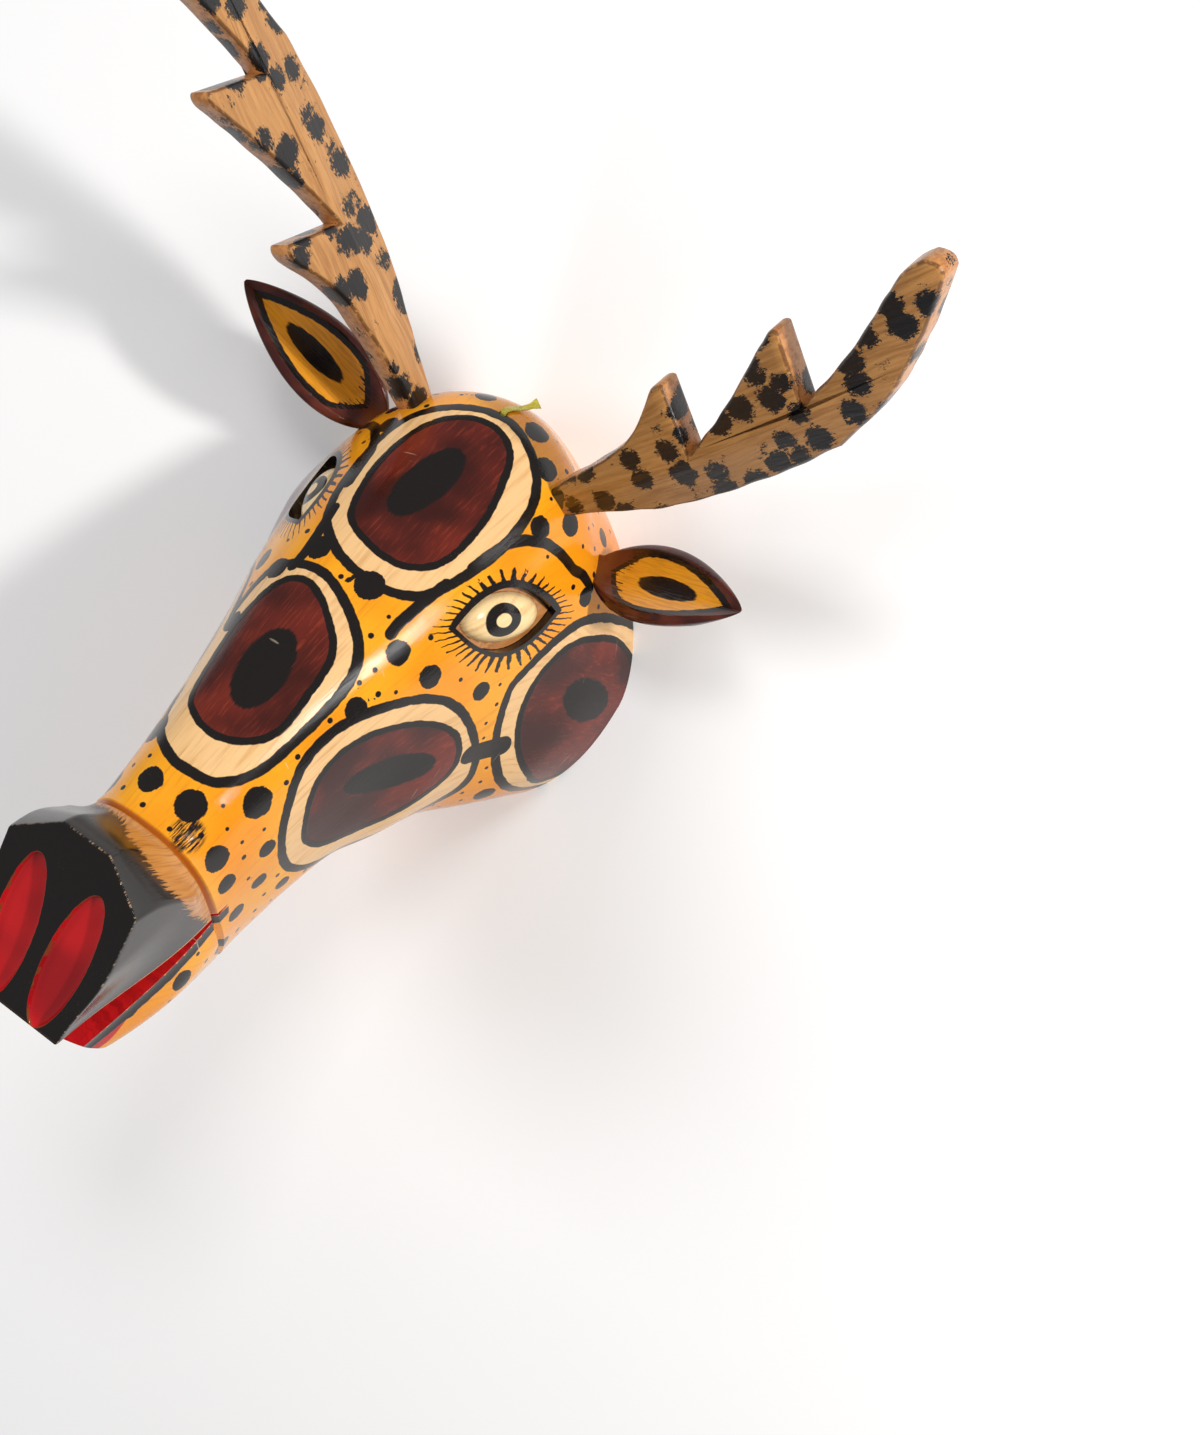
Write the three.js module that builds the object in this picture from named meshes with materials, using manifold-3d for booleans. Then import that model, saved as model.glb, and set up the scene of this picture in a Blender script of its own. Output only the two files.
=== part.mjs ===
// A carved wooden deer mask lying on its flat rim: one hollow head with an open mouth, two antlers sawn
// from board, two leaf ears, each on its own peg, and a short strip for hanging it.
// Millimetres, +Z up out of the rim plane, +Y towards the crown, +X the deer's own left. It is drawn around
// the middle of the head's back and then moved to its own origin.
import * as THREE from "three";
import { mergeVertices } from "three/addons/utils/BufferGeometryUtils.js";
import Module from "manifold-3d";

// The head is lofted through these sections, from the rim to past the nose. Each lies in the plane through
// its back-line point (dorsal) and its throat point (ventral), both [y, z], and across x. half is its half
// width at the widest place, level the height of that place as a share of the section, and top and bottom
// say how square its two halves are, 2 being an ellipse.
const SECTIONS = [
  { dorsal: [108, 0], ventral: [-89, 0], half: 108, level: 0.5, top: 1.64, bottom: 2.5 },
  { dorsal: [120, 34], ventral: [-97, 32], half: 98, level: 0.48, top: 1.66, bottom: 2.5 },
  { dorsal: [118, 70], ventral: [-108, 62], half: 81, level: 0.46, top: 2.15, bottom: 2.5 },
  { dorsal: [73, 112], ventral: [-122, 88], half: 69, level: 0.46, top: 2.4, bottom: 2.6 },
  { dorsal: [16, 150], ventral: [-136, 101], half: 56, level: 0.46, top: 2.7, bottom: 2.5 },
  { dorsal: [-37, 184], ventral: [-158, 107], half: 46.5, level: 0.46, top: 2.7, bottom: 2.5 },
  { dorsal: [-82, 211], ventral: [-176, 114], half: 41, level: 0.46, top: 2.7, bottom: 2.6 },
  { dorsal: [-110, 231], ventral: [-192, 131], half: 39, level: 0.5, top: 2.6, bottom: 2.8 },
  { dorsal: [-111, 273], ventral: [-217, 179], half: 38.5, level: 0.6, top: 2.4, bottom: 3.2 },
  { dorsal: [-135, 314], ventral: [-253, 240], half: 36.6, level: 0.65, top: 2.4, bottom: 3.2 },
];
const RING_STEPS = 56;
const RING_PITCH = 0.3;
// Steps of a full round in the larger cylinders, in pegs, and in the two directions of an eyeball
const ROUND_STEPS = 48;
const PEG_STEPS = 20;
const BALL_STEPS = [16, 10];
// Steps of one curved stretch of a sawn outline, of an almond's arc and of a nostril
const SAWN_STEPS = 3;
const ALMOND_STEPS = 9;
const NOSTRIL_STEPS = 18;

// Hollow for the wearer's face
const WALL = 13;
const CAVITY_END = 4.2;
const CAVITY_RINGS = 10;
const CAVITY_STEPS = 28;
const DOME_EXTRA = 30;

// Carved line where the snout meets the muzzle block, as a place among the sections
const GROOVE = 6.93;
const GROOVE_HALF = 0.07;
const GROOVE_DEPTH = 2.2;

// Flat nose face: a point of its plane and how far it leans towards the chin, in degrees
const NOSE = { y: -131, z: 273, tilt: 10.5 };
const NOSTRIL = { x: 15.5, up: -41, half: 11, length: 40, lean: 0.06, depth: 4 };

// Mouth: a wedge that opens from its corner towards the nose. The chin stops short of the nose and is round
const MOUTH = { y: -136, z: 181, rise: 46, gap: 30, length: 107, depth: 160 };
const CHIN = { centre: 38, radius: 53, bulge: 11, half: 44 };
// Where across the chin its roundness is worked out, as shares of its half width
const CHIN_LAYERS = [-2, -1, -0.75, -0.45, 0, 0.45, 0.75, 1, 2];

// Towards the nose both lips draw in and the jaw widens below its lip, each by a share of the width
const LIP_TUCK = 0.2;
const TUCK_FROM = 20;
const TUCK_HEIGHT = 42;
const JAW_TUCK = 0.12;
const JAW_FLARE = 0.17;
const FLARE_WAY = [-15, 50];
const FLARE_DEPTH = 25;

// Behind the groove the upper half is round. Ahead of it, it is cut into flat facets: a top, two sides and a
// slanted one between them, whose line in the section is y + slant x = corner, both as shares of its reach
const FACETS = { from: 6.95, full: 7.3, slant: 0.55, corner: 1.2 };

// Eye: an almond pocket between its two corners with a rounded eyeball left standing
const EYE = { centre: [61, 37, 97], long: [25, 24, -54], out: [0.8, 0.29, 0.52], length: 62, height: 33 };
const EYE_POCKET = 7;
const EYE_REACH = 40;
const EYEBALL = { length: 23, height: 12.5, depth: 8, sunk: 6.5 };

// Antlers: sawn boards whose neck sits on the head, on round pegs
const ANTLER = { seat: [40, 95, 74.4], thick: 14, bevel: 2.5 };
const PEG = { radius: 5.5, length: 10, up: 8 };
const NECK_MIDDLE = -5;
const ANTLER_WAY = { left: [0.59, 0.6, 0.54], right: [-0.54, 0.59, 0.6] };
const ANTLER_TINES = { left: [-0.81, 0.46, 0.37], right: [0.08, -0.67, 0.73] };

// Ears: leaves with a hollowed front, on round pegs
const EAR = { seat: [69.2, 72, 37.7], way: [0.85, 0.3, 0.43], front: [0.25, 0.45, 0.86] };
const EAR_LEAF = { length: 103, half: 22, edge: 3, hollow: 3.5, back: 8, neck: 7, rim: 0.78 };
const EAR_RINGS = 12;
const EAR_STEPS = 10;

// Hanging strip: through a hole in the crown, its tail lying towards the rim
const HOLE = { u: 2.02, aside: -3, radius: 2.3 };
const STRIP = { width: 3.4, thick: 1, flare: 6.5 };
// Its route from inside the head: height out of the wood, way down the crown, and sideways
const STRIP_ROUTE = [
  [-17, 0, 0], [-8, 0, 0], [0.4, 0.1, 0], [1.6, 1.4, -0.2], [1.7, 4, -0.9],
  [1.3, 8, -2.6], [1.5, 12, -4.7], [2.8, 15.5, -6.8], [4.4, 18, -8.5],
];
const HOLE_STEPS = 12;

const COLOUR = { mask: 0xd98a1e, antler: 0xb98a55, ear: 0x4a1a12, strip: 0xe3d24a };

const SEAT_GAP = 0.3;
const FIRM = 0.01;
const { degToRad: rad, lerp, smoothstep } = THREE.MathUtils;

const wasm = await Module();
wasm.setup();

function solidOf(geometry) {
  const bare = geometry.clone();
  bare.deleteAttribute("normal");
  bare.deleteAttribute("uv");
  const merged = mergeVertices(bare, 1e-4);
  return new wasm.Manifold(new wasm.Mesh({
    numProp: 3,
    vertProperties: new Float32Array(merged.attributes.position.array),
    triVerts: new Uint32Array(merged.index.array),
  }));
}

function geometryOf(solid) {
  const mesh = solid.getMesh();
  const geometry = new THREE.BufferGeometry();
  geometry.setAttribute("position", new THREE.BufferAttribute(mesh.vertProperties, 3));
  geometry.setIndex(new THREE.BufferAttribute(mesh.triVerts, 1));
  return geometry;
}

// Curve through b and c that also heeds their neighbours a and d
function through(a, b, c, d, k) {
  return b + 0.5 * k * (c - a + k * (2 * a - 5 * b + 4 * c - d + k * (3 * (b - c) + d - a)));
}

function sectionAt(u) {
  const last = SECTIONS.length - 1;
  const i = Math.min(Math.floor(u), last - 1);
  const near = [i - 1, i, i + 1, i + 2].map((j) => SECTIONS[THREE.MathUtils.clamp(j, 0, last)]);
  const value = (pick) => through(...near.map(pick), u - i);
  return {
    dorsal: [value((s) => s.dorsal[0]), value((s) => s.dorsal[1])],
    ventral: [value((s) => s.ventral[0]), value((s) => s.ventral[1])],
    half: value((s) => s.half),
    level: value((s) => s.level),
    top: value((s) => s.top),
    bottom: value((s) => s.bottom),
  };
}

// Place along the mouth from its corner, and height above its upper lip
function alongMouth(y, z) {
  const rise = rad(MOUTH.rise);
  const forward = (MOUTH.y - y) * Math.cos(rise) + (z - MOUTH.z) * Math.sin(rise);
  const height = (y - MOUTH.y) * Math.sin(rise) + (z - MOUTH.z) * Math.cos(rise);
  return { forward, height };
}

function lipTuck(y, z) {
  const { forward, height } = alongMouth(y, z);
  const ahead = smoothstep(forward, TUCK_FROM, MOUTH.length);
  const low = 1 - smoothstep(height, 0, TUCK_HEIGHT);
  const belowTop = -height - (forward * MOUTH.gap) / MOUTH.length;
  const flare = JAW_FLARE * smoothstep(forward, ...FLARE_WAY);
  const jaw = lerp(-JAW_TUCK * ahead, flare, smoothstep(belowTop, 0, FLARE_DEPTH));
  return 1 + lerp(jaw, -LIP_TUCK * low * ahead, smoothstep(height, -MOUTH.gap / 2, 0));
}

// Where angle a meets the outline of a section, as shares of its reach to the side and up
function outlineAt(u, a, s) {
  const c = Math.cos(a);
  const n = Math.sin(a);
  const power = 2 / (n >= 0 ? s.top : s.bottom);
  const round = [Math.sign(c) * Math.abs(c) ** power, Math.sign(n) * Math.abs(n) ** power];
  const size = Math.max(Math.abs(c), n, (n + FACETS.slant * Math.abs(c)) / FACETS.corner);
  const flat = n >= 0 ? smoothstep(u, FACETS.from, FACETS.full) : 0;
  return [lerp(round[0], c / size, flat), lerp(round[1], n / size, flat)];
}

// Point of section u at angle a, where 0 is the deer's left and a quarter turn the back line. The section
// is made smaller all round by shrink
function headPoint(u, a, shrink) {
  const s = sectionAt(u);
  const dy = s.dorsal[0] - s.ventral[0];
  const dz = s.dorsal[1] - s.ventral[1];
  const tall = Math.hypot(dy, dz);
  const [aside, up] = outlineAt(u, a, s);
  const reach = (up >= 0 ? 1 - s.level : s.level) * tall - shrink;
  const x = (s.half - shrink) * aside;
  const v = s.level * tall + reach * up;
  const y = s.ventral[0] + (v * dy) / tall;
  const z = s.ventral[1] + (v * dz) / tall;
  return new THREE.Vector3(x * lipTuck(y, z), y, z);
}

function ringAt(u, steps, shrink) {
  return Array.from({ length: steps }, (_, i) => headPoint(u, (2 * Math.PI * i) / steps, shrink));
}

// Closed skin over rings of points, with a centre point on both ends
function skin(rings) {
  const points = [];
  const faces = [];
  const n = rings[0].length;
  rings.forEach((ring) => ring.forEach((p) => points.push(p.x, p.y, p.z)));
  for (let r = 0; r + 1 < rings.length; r += 1) {
    for (let i = 0; i < n; i += 1) {
      const a = r * n + i;
      const b = r * n + ((i + 1) % n);
      faces.push(a, b, a + n, b, b + n, a + n);
    }
  }
  const cap = (ring, turned) => {
    const centre = points.length / 3;
    const middle = new THREE.Vector3();
    rings[ring].forEach((p) => middle.addScaledVector(p, 1 / n));
    points.push(middle.x, middle.y, middle.z);
    for (let i = 0; i < n; i += 1) {
      const a = ring * n + i;
      const b = ring * n + ((i + 1) % n);
      faces.push(...(turned ? [b, a, centre] : [a, b, centre]));
    }
  };
  cap(0, true);
  cap(rings.length - 1, false);
  const geometry = new THREE.BufferGeometry();
  geometry.setAttribute("position", new THREE.Float32BufferAttribute(points, 3));
  geometry.setIndex(faces);
  return geometry;
}

// Frame at a point whose x axis is along one direction and whose y axis is as near as it can be to another
function frameAt(origin, along, beside) {
  const x = new THREE.Vector3(...along).normalize();
  const y = new THREE.Vector3(...beside);
  y.addScaledVector(x, -x.dot(y)).normalize();
  const z = new THREE.Vector3().crossVectors(x, y);
  return new THREE.Matrix4().makeBasis(x, y, z).setPosition(...origin);
}

const mirrored = (v, side) => (side === "left" ? v : [-v[0], v[1], v[2]]);

function slab(outline, thick, bevel = 0) {
  return new THREE.ExtrudeGeometry(outline, {
    depth: thick - 2 * bevel,
    bevelEnabled: bevel > 0,
    bevelThickness: bevel,
    bevelSize: bevel,
    bevelOffset: -bevel,
    bevelSegments: 1,
    curveSegments: SAWN_STEPS,
  }).translate(0, 0, bevel - thick / 2);
}

function headBlock(grow = 0) {
  const last = SECTIONS.length - 1;
  const stops = [];
  for (let u = 0; u < GROOVE - RING_PITCH; u += RING_PITCH) stops.push(u);
  stops.push(GROOVE - 3 * GROOVE_HALF, GROOVE - GROOVE_HALF, GROOVE, GROOVE + GROOVE_HALF);
  for (let u = GROOVE + RING_PITCH; u < last; u += RING_PITCH) stops.push(u);
  stops.push(last);
  return solidOf(skin(stops.map((u) => ringAt(u, RING_STEPS, (u === GROOVE ? GROOVE_DEPTH : 0) - grow))));
}

// The hollow keeps the wall's thickness and ends in a dome
function cavity() {
  const rings = [ringAt(0, CAVITY_STEPS, WALL).map((p) => p.setZ(-WALL))];
  for (let k = 0; k <= CAVITY_RINGS; k += 1) {
    const share = k / CAVITY_RINGS;
    const close = 1 - Math.sqrt(1 - share ** 4);
    rings.push(ringAt(CAVITY_END * share, CAVITY_STEPS, WALL + DOME_EXTRA * close));
  }
  return solidOf(skin(rings));
}

// x along the mouth from its corner, y from the jaw to the muzzle, z across
function mouthFrame() {
  const rise = rad(MOUTH.rise);
  return frameAt([0, MOUTH.y, MOUTH.z], [0, -Math.cos(rise), Math.sin(rise)], [0, Math.sin(rise), Math.cos(rise)]);
}

function mouthWedge() {
  const outline = new THREE.Shape();
  outline.moveTo(0, 0);
  outline.lineTo(MOUTH.length * 1.5, 0);
  outline.lineTo(MOUTH.length * 1.5, -MOUTH.gap * 1.5);
  outline.closePath();
  return solidOf(slab(outline, MOUTH.depth).applyMatrix4(mouthFrame()));
}

// What the round chin leaves away in front of the lower jaw. It is round both from below and from the side
function chinCutter() {
  const reach = 2 * MOUTH.length;
  const box = new THREE.BoxGeometry(reach, reach, MOUTH.depth);
  box.translate(CHIN.centre + reach / 2, -reach / 2 - MOUTH.gap / 3, 0);
  const rings = CHIN_LAYERS.map((share) => {
    const radius = CHIN.radius + CHIN.bulge * (1 - share ** 2);
    const point = (turn) => new THREE.Vector3(
      CHIN.centre + radius * Math.cos(turn), radius * Math.sin(turn), CHIN.half * share,
    );
    return Array.from({ length: ROUND_STEPS }, (_, i) => point((2 * Math.PI * i) / ROUND_STEPS));
  });
  return solidOf(box.applyMatrix4(mouthFrame())).subtract(solidOf(skin(rings).applyMatrix4(mouthFrame())));
}

// x up the nose face, y to the deer's left, z out of the face
function noseFrame() {
  const tilt = rad(NOSE.tilt);
  return frameAt([0, NOSE.y, NOSE.z], [0, Math.cos(tilt), Math.sin(tilt)], [-1, 0, 0]);
}

function nostril(side) {
  const sign = side === "left" ? -1 : 1;
  const outline = new THREE.Shape();
  const { up, x, length, half, lean, depth } = NOSTRIL;
  outline.absellipse(up, sign * x, length, half, 0, 2 * Math.PI, false, sign * lean);
  const recess = new THREE.ExtrudeGeometry(outline, {
    depth: 2 * depth, bevelEnabled: false, curveSegments: NOSTRIL_STEPS,
  });
  return solidOf(recess.translate(0, 0, -depth).applyMatrix4(noseFrame()));
}

// Almond of two arcs, from corner to corner along x
function almond(length, height) {
  const outline = new THREE.Shape();
  outline.moveTo(-length / 2, 0);
  outline.quadraticCurveTo(0, -height, length / 2, 0);
  outline.quadraticCurveTo(0, height, -length / 2, 0);
  return outline;
}

function eyePocket(side) {
  const frame = frameAt(mirrored(EYE.centre, side), mirrored(EYE.out, side), mirrored(EYE.long, side));
  const turn = new THREE.Matrix4().makeBasis(
    new THREE.Vector3(0, 1, 0), new THREE.Vector3(0, 0, 1), new THREE.Vector3(1, 0, 0),
  );
  const place = frame.multiply(turn);
  const pocket = new THREE.ExtrudeGeometry(almond(EYE.length, EYE.height), {
    depth: EYE_REACH, bevelEnabled: false, curveSegments: ALMOND_STEPS,
  }).translate(0, 0, -EYE_POCKET);
  const ball = new THREE.SphereGeometry(1, ...BALL_STEPS).scale(EYEBALL.length, EYEBALL.height, EYEBALL.depth);
  ball.translate(0, 0, -EYEBALL.sunk);
  return solidOf(pocket.applyMatrix4(place)).subtract(solidOf(ball.applyMatrix4(place)));
}

// Round peg along the x axis of a frame, from inside the head to just outside it. The socket for it is
// larger all round by gap
function peg(frame, gap = 0) {
  const radius = PEG.radius + gap;
  const from = -PEG.length - gap;
  const rod = new THREE.CylinderGeometry(radius, radius, PEG.up - from, PEG_STEPS).rotateZ(-Math.PI / 2);
  return solidOf(rod.translate((from + PEG.up) / 2, 0, 0).applyMatrix4(frame));
}

function antlerFrame(side) {
  return frameAt(mirrored(ANTLER.seat, side), ANTLER_WAY[side], ANTLER_TINES[side]);
}

function earFrame(side) {
  const way = new THREE.Vector3(...mirrored(EAR.way, side));
  const front = new THREE.Vector3(...mirrored(EAR.front, side));
  const across = new THREE.Vector3().crossVectors(front, way);
  return frameAt(mirrored(EAR.seat, side), way.toArray(), across.toArray());
}

const curve = (points) => points.map(([x, y]) => new THREE.Vector2(x, y));

// Outline of an antler board: x along it, y towards its two tines. Its neck is centred on NECK_MIDDLE
function antlerOutline() {
  const shape = new THREE.Shape();
  shape.moveTo(-6, -12);
  shape.splineThru(curve([[30, -18], [75, -26], [120, -28], [165, -27], [200, -24]]));
  shape.splineThru(curve([[238, -12], [264, 2], [286, 16], [305, 30]]));
  shape.quadraticCurveTo(311, 38, 300, 41);
  shape.quadraticCurveTo(288, 42, 273, 34);
  shape.splineThru(curve([[247, 21], [221, 10], [193, 0]]));
  shape.lineTo(204, 35);
  shape.quadraticCurveTo(202, 39, 194, 35);
  shape.splineThru(curve([[165, 20], [137, 7], [109, -4]]));
  shape.lineTo(120, 31);
  shape.quadraticCurveTo(118, 35, 110, 32);
  shape.splineThru(curve([[83, 16], [57, 9], [26, 5], [-6, 2]]));
  shape.closePath();
  return shape;
}

function antler(side, head) {
  const board = slab(antlerOutline(), ANTLER.thick, ANTLER.bevel).translate(0, 0, -ANTLER.thick / 2);
  const frame = antlerFrame(side);
  const pegFrame = frame.clone().multiply(new THREE.Matrix4().makeTranslation(0, NECK_MIDDLE, -ANTLER.thick / 2));
  const wood = solidOf(board.applyMatrix4(frame)).subtract(head);
  return { solid: wood.add(peg(pegFrame)), socket: peg(pegFrame, SEAT_GAP) };
}

// Cross-section of the leaf at a share of its length, as a ring of points: x along, y across, z to the front
function leafRing(share) {
  const { edge, hollow, back, neck, rim } = EAR_LEAF;
  const half = Math.max(EAR_LEAF.half * Math.sin(Math.PI * share ** 0.78) ** 0.75, share < 0.3 ? neck : FIRM);
  const full = Math.min(1, (1 - share) * 4);
  const ring = [];
  const put = (a, front) => {
    const thick = edge * full * Math.sqrt(Math.max(0, 1 - a ** 8));
    const dish = hollow * full * Math.max(0, 1 - (a / rim) ** 2) * Math.min(1, share * 5);
    const bulge = back * full * (1 - a * a);
    ring.push(new THREE.Vector3(EAR_LEAF.length * share, half * a, front ? thick - dish : -thick - bulge));
  };
  for (let i = 0; i < EAR_STEPS; i += 1) put(Math.cos((Math.PI * i) / EAR_STEPS), true);
  for (let i = 0; i < EAR_STEPS; i += 1) put(-Math.cos((Math.PI * i) / EAR_STEPS), false);
  return ring;
}

function ear(side, head) {
  const rings = Array.from({ length: EAR_RINGS + 1 }, (_, i) => leafRing(Math.min(i / EAR_RINGS, 1 - FIRM / 2)));
  const frame = earFrame(side);
  const pegFrame = frame.clone().multiply(new THREE.Matrix4().makeTranslation(0, 0, -EAR_LEAF.back / 2));
  const leaf = solidOf(skin(rings).applyMatrix4(frame)).subtract(head);
  return { solid: leaf.add(peg(pegFrame)), socket: peg(pegFrame, SEAT_GAP) };
}

// Frame at the hole: x out of the wood, y along the crown towards the rim
function holeFrame() {
  const here = headPoint(HOLE.u, Math.PI / 2, 0);
  const next = headPoint(HOLE.u - 0.2, Math.PI / 2, 0);
  const down = next.clone().sub(here);
  const out = new THREE.Vector3(1, 0, 0).cross(down);
  return frameAt(here.setX(HOLE.aside).toArray(), out.toArray(), down.toArray());
}

function hole() {
  const rod = new THREE.CylinderGeometry(HOLE.radius, HOLE.radius, 4 * WALL, HOLE_STEPS).rotateZ(Math.PI / 2);
  return solidOf(rod.applyMatrix4(holeFrame()));
}

// Flat strip along its own route: up through the hole, over its edge and down the crown to a flared end
function strip() {
  const route = STRIP_ROUTE.map(([out, down, aside]) => new THREE.Vector3(out, down, aside));
  const rings = route.map((p, i) => {
    const before = route[Math.max(0, i - 1)];
    const after = route[Math.min(route.length - 1, i + 1)];
    const way = after.clone().sub(before).normalize();
    const across = new THREE.Vector3(0, 0, 1).addScaledVector(way, -way.z).normalize();
    const thick = new THREE.Vector3().crossVectors(way, across);
    const half = (i === route.length - 1 ? STRIP.flare : STRIP.width) / 2;
    const corner = (a, t) => p.clone().addScaledVector(across, a * half).addScaledVector(thick, (t * STRIP.thick) / 2);
    return [corner(1, -1), corner(1, 1), corner(-1, 1), corner(-1, -1)];
  });
  return solidOf(skin(rings).applyMatrix4(holeFrame()));
}

function mesh(name, solid, color, roughness) {
  const node = new THREE.Mesh(geometryOf(solid), new THREE.MeshStandardMaterial({ color, roughness, metalness: 0 }));
  node.name = name;
  return node;
}

const part = new THREE.Group();
part.name = "deer_mask";

const clearance = headBlock(SEAT_GAP);
let head = headBlock().subtract(cavity()).subtract(mouthWedge()).subtract(chinCutter());
const tilt = rad(NOSE.tilt);
head = head.trimByPlane([0, Math.sin(tilt), -Math.cos(tilt)], Math.sin(tilt) * NOSE.y - Math.cos(tilt) * NOSE.z);
for (const side of ["left", "right"]) {
  const horn = antler(side, clearance);
  const leaf = ear(side, clearance);
  head = head.subtract(nostril(side)).subtract(eyePocket(side)).subtract(horn.socket).subtract(leaf.socket);
  part.add(mesh(`${side}_antler`, horn.solid, COLOUR.antler, 0.35));
  part.add(mesh(`${side}_ear`, leaf.solid, COLOUR.ear, 0.3));
}
part.add(mesh("mask", head.subtract(hole()), COLOUR.mask, 0.25));
part.add(mesh("hanging_strip", strip(), COLOUR.strip, 0.4));

// The origin is the middle of the whole part's length and width, on the surface it lies on
const box = new THREE.Box3().setFromObject(part);
const middle = box.getCenter(new THREE.Vector3()).setZ(box.min.z);
part.children.forEach((node) => node.position.copy(middle).negate());

export default part;
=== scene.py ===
# A carved and painted wooden deer mask lying on its flat rim
import math

import bmesh
import bpy
import numpy as np
from mathutils import Matrix, Vector
from mathutils.geometry import tessellate_polygon
from mathutils.kdtree import KDTree


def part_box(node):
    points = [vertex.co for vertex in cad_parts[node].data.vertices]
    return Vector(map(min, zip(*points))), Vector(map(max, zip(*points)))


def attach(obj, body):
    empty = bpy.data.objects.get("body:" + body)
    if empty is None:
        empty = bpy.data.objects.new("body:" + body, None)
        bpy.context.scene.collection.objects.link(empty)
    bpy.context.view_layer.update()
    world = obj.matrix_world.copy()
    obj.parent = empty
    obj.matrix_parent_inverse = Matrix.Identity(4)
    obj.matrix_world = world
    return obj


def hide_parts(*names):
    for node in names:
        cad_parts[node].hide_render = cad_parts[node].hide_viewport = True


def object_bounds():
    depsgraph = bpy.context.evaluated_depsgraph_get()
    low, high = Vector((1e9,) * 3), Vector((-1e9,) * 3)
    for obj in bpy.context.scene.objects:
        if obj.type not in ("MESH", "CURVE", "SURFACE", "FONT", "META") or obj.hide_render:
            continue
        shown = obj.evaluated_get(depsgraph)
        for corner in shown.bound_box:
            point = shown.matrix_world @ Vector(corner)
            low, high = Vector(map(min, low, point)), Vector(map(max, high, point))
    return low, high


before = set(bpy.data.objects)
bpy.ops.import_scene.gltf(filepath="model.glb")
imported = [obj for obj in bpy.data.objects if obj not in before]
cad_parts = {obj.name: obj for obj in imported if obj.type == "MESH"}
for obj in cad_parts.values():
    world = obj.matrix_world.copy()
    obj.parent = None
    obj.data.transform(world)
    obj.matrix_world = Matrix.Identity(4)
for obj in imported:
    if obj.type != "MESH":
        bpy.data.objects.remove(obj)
CAD_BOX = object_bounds()
MM = 0.001

# The head is lofted through these sections, from the rim to past the nose. Each row gives its back-line
# point [y, z], its throat point [y, z], half width, height of the widest place as a share of the section,
# and how square its top and bottom halves are. Millimetres, in the drawing's own place
SECTIONS = np.array([
    [108, 0, -89, 0, 108, 0.50, 1.64, 2.5],
    [120, 34, -97, 32, 98, 0.48, 1.66, 2.5],
    [118, 70, -108, 62, 81, 0.46, 2.15, 2.5],
    [73, 112, -122, 88, 69, 0.46, 2.4, 2.6],
    [16, 150, -136, 101, 56, 0.46, 2.7, 2.5],
    [-37, 184, -158, 107, 46.5, 0.46, 2.7, 2.5],
    [-82, 211, -176, 114, 41, 0.46, 2.7, 2.6],
    [-110, 231, -192, 131, 39, 0.5, 2.6, 2.8],
    [-111, 273, -217, 179, 38.5, 0.6, 2.4, 3.2],
    [-135, 314, -253, 240, 36.6, 0.65, 2.4, 3.2],
], float)
# The head's mesh: points in a ring, and how far apart its rings are, as a share of a section
AROUND = 256
PITCH = 0.04
LAST = len(SECTIONS) - 1

# The hollow: its wall, the place among the sections where it ends, and how much its dome draws in there
WALL = 13
CAVITY_END = 4.2
DOME_EXTRA = 30

# Groove between snout and muzzle block, as a place among the sections
GROOVE = 6.93
GROOVE_HALF = 0.07
GROOVE_DEPTH = 2.2

NOSE = {"point": (0, -131, 273), "tilt": 10.5, "round": 1.6, "from": 7.2}
# Where the black of the muzzle begins: angle round the head, place among the sections
DARK_FROM = [(-90, 7.1), (10, 7.12), (26, 7.45), (40, 7.6), (57, 7.62), (83, 7.45), (97, 7.14), (116, 7.08),
             (145, 7.08), (158, 7.1), (270, 7.1)]
NOSTRIL = {"x": 15.5, "up": -41, "half": 11, "length": 40, "lean": 0.06, "depth": 4}
MOUTH = {"point": (0, -136, 181), "rise": 46, "gap": 30, "length": 107, "width": 160}
JAW_SLOPE = MOUTH["gap"] / MOUTH["length"]
CHIN = {"centre": 38, "radius": 52.8, "bulge": 11, "half": 44}
# How much the lip and the jaw narrow ahead of the mouth's corner, and how much the jaw's lower part flares
LIP_TUCK = 0.2
TUCK_FROM = 20
TUCK_HEIGHT = 42
JAW_TUCK = 0.12
JAW_FLARE = 0.17
FLARE_WAY = (-15, 50)
FLARE_DEPTH = 25

# Ahead of the groove the upper half is cut into flat facets: a top, two sides and a slanted one between
# them, whose line in the section is y + slant x = corner, both as shares of its reach
FACETS = {"from": 6.95, "full": 7.3, "slant": 0.55, "corner": 1.2}

EYE = {"centre": (61, 37, 97), "long": (25, 24, -54), "out": (0.8, 0.29, 0.52), "length": 62, "height": 33}
EYE_POCKET = 7
EYEBALL = {"length": 23, "height": 12.5, "depth": 8, "sunk": 6.5}
# Black ring on the eyeball: how far back along the eye it lies, its half axes, and its hole's share of them
EYE_RING = {"back": 2.0, "long": 10.5, "wide": 8.6, "hole": 0.42}
LASHES = 40
# What belongs to the eye lies no deeper than this
EYE_BACK = -22

ANTLER_SEAT = (40, 95, 74.4)
ANTLER_THICK = 14
ANTLER_CUTS = {"size": 9, "depth": 0.8}
# How far the rounded edge of a board is drawn in, and its height there above the middle of the board
ANTLER_EDGE = [(0, 4.6), (0.4, 5.7), (1.1, 6.4), (2.0, 6.8)]
ANTLER_WAY = {"left": (0.59, 0.6, 0.54), "right": (-0.54, 0.59, 0.6)}
ANTLER_TINES = {"left": (-0.81, 0.46, 0.37), "right": (0.08, -0.67, 0.73)}

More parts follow.
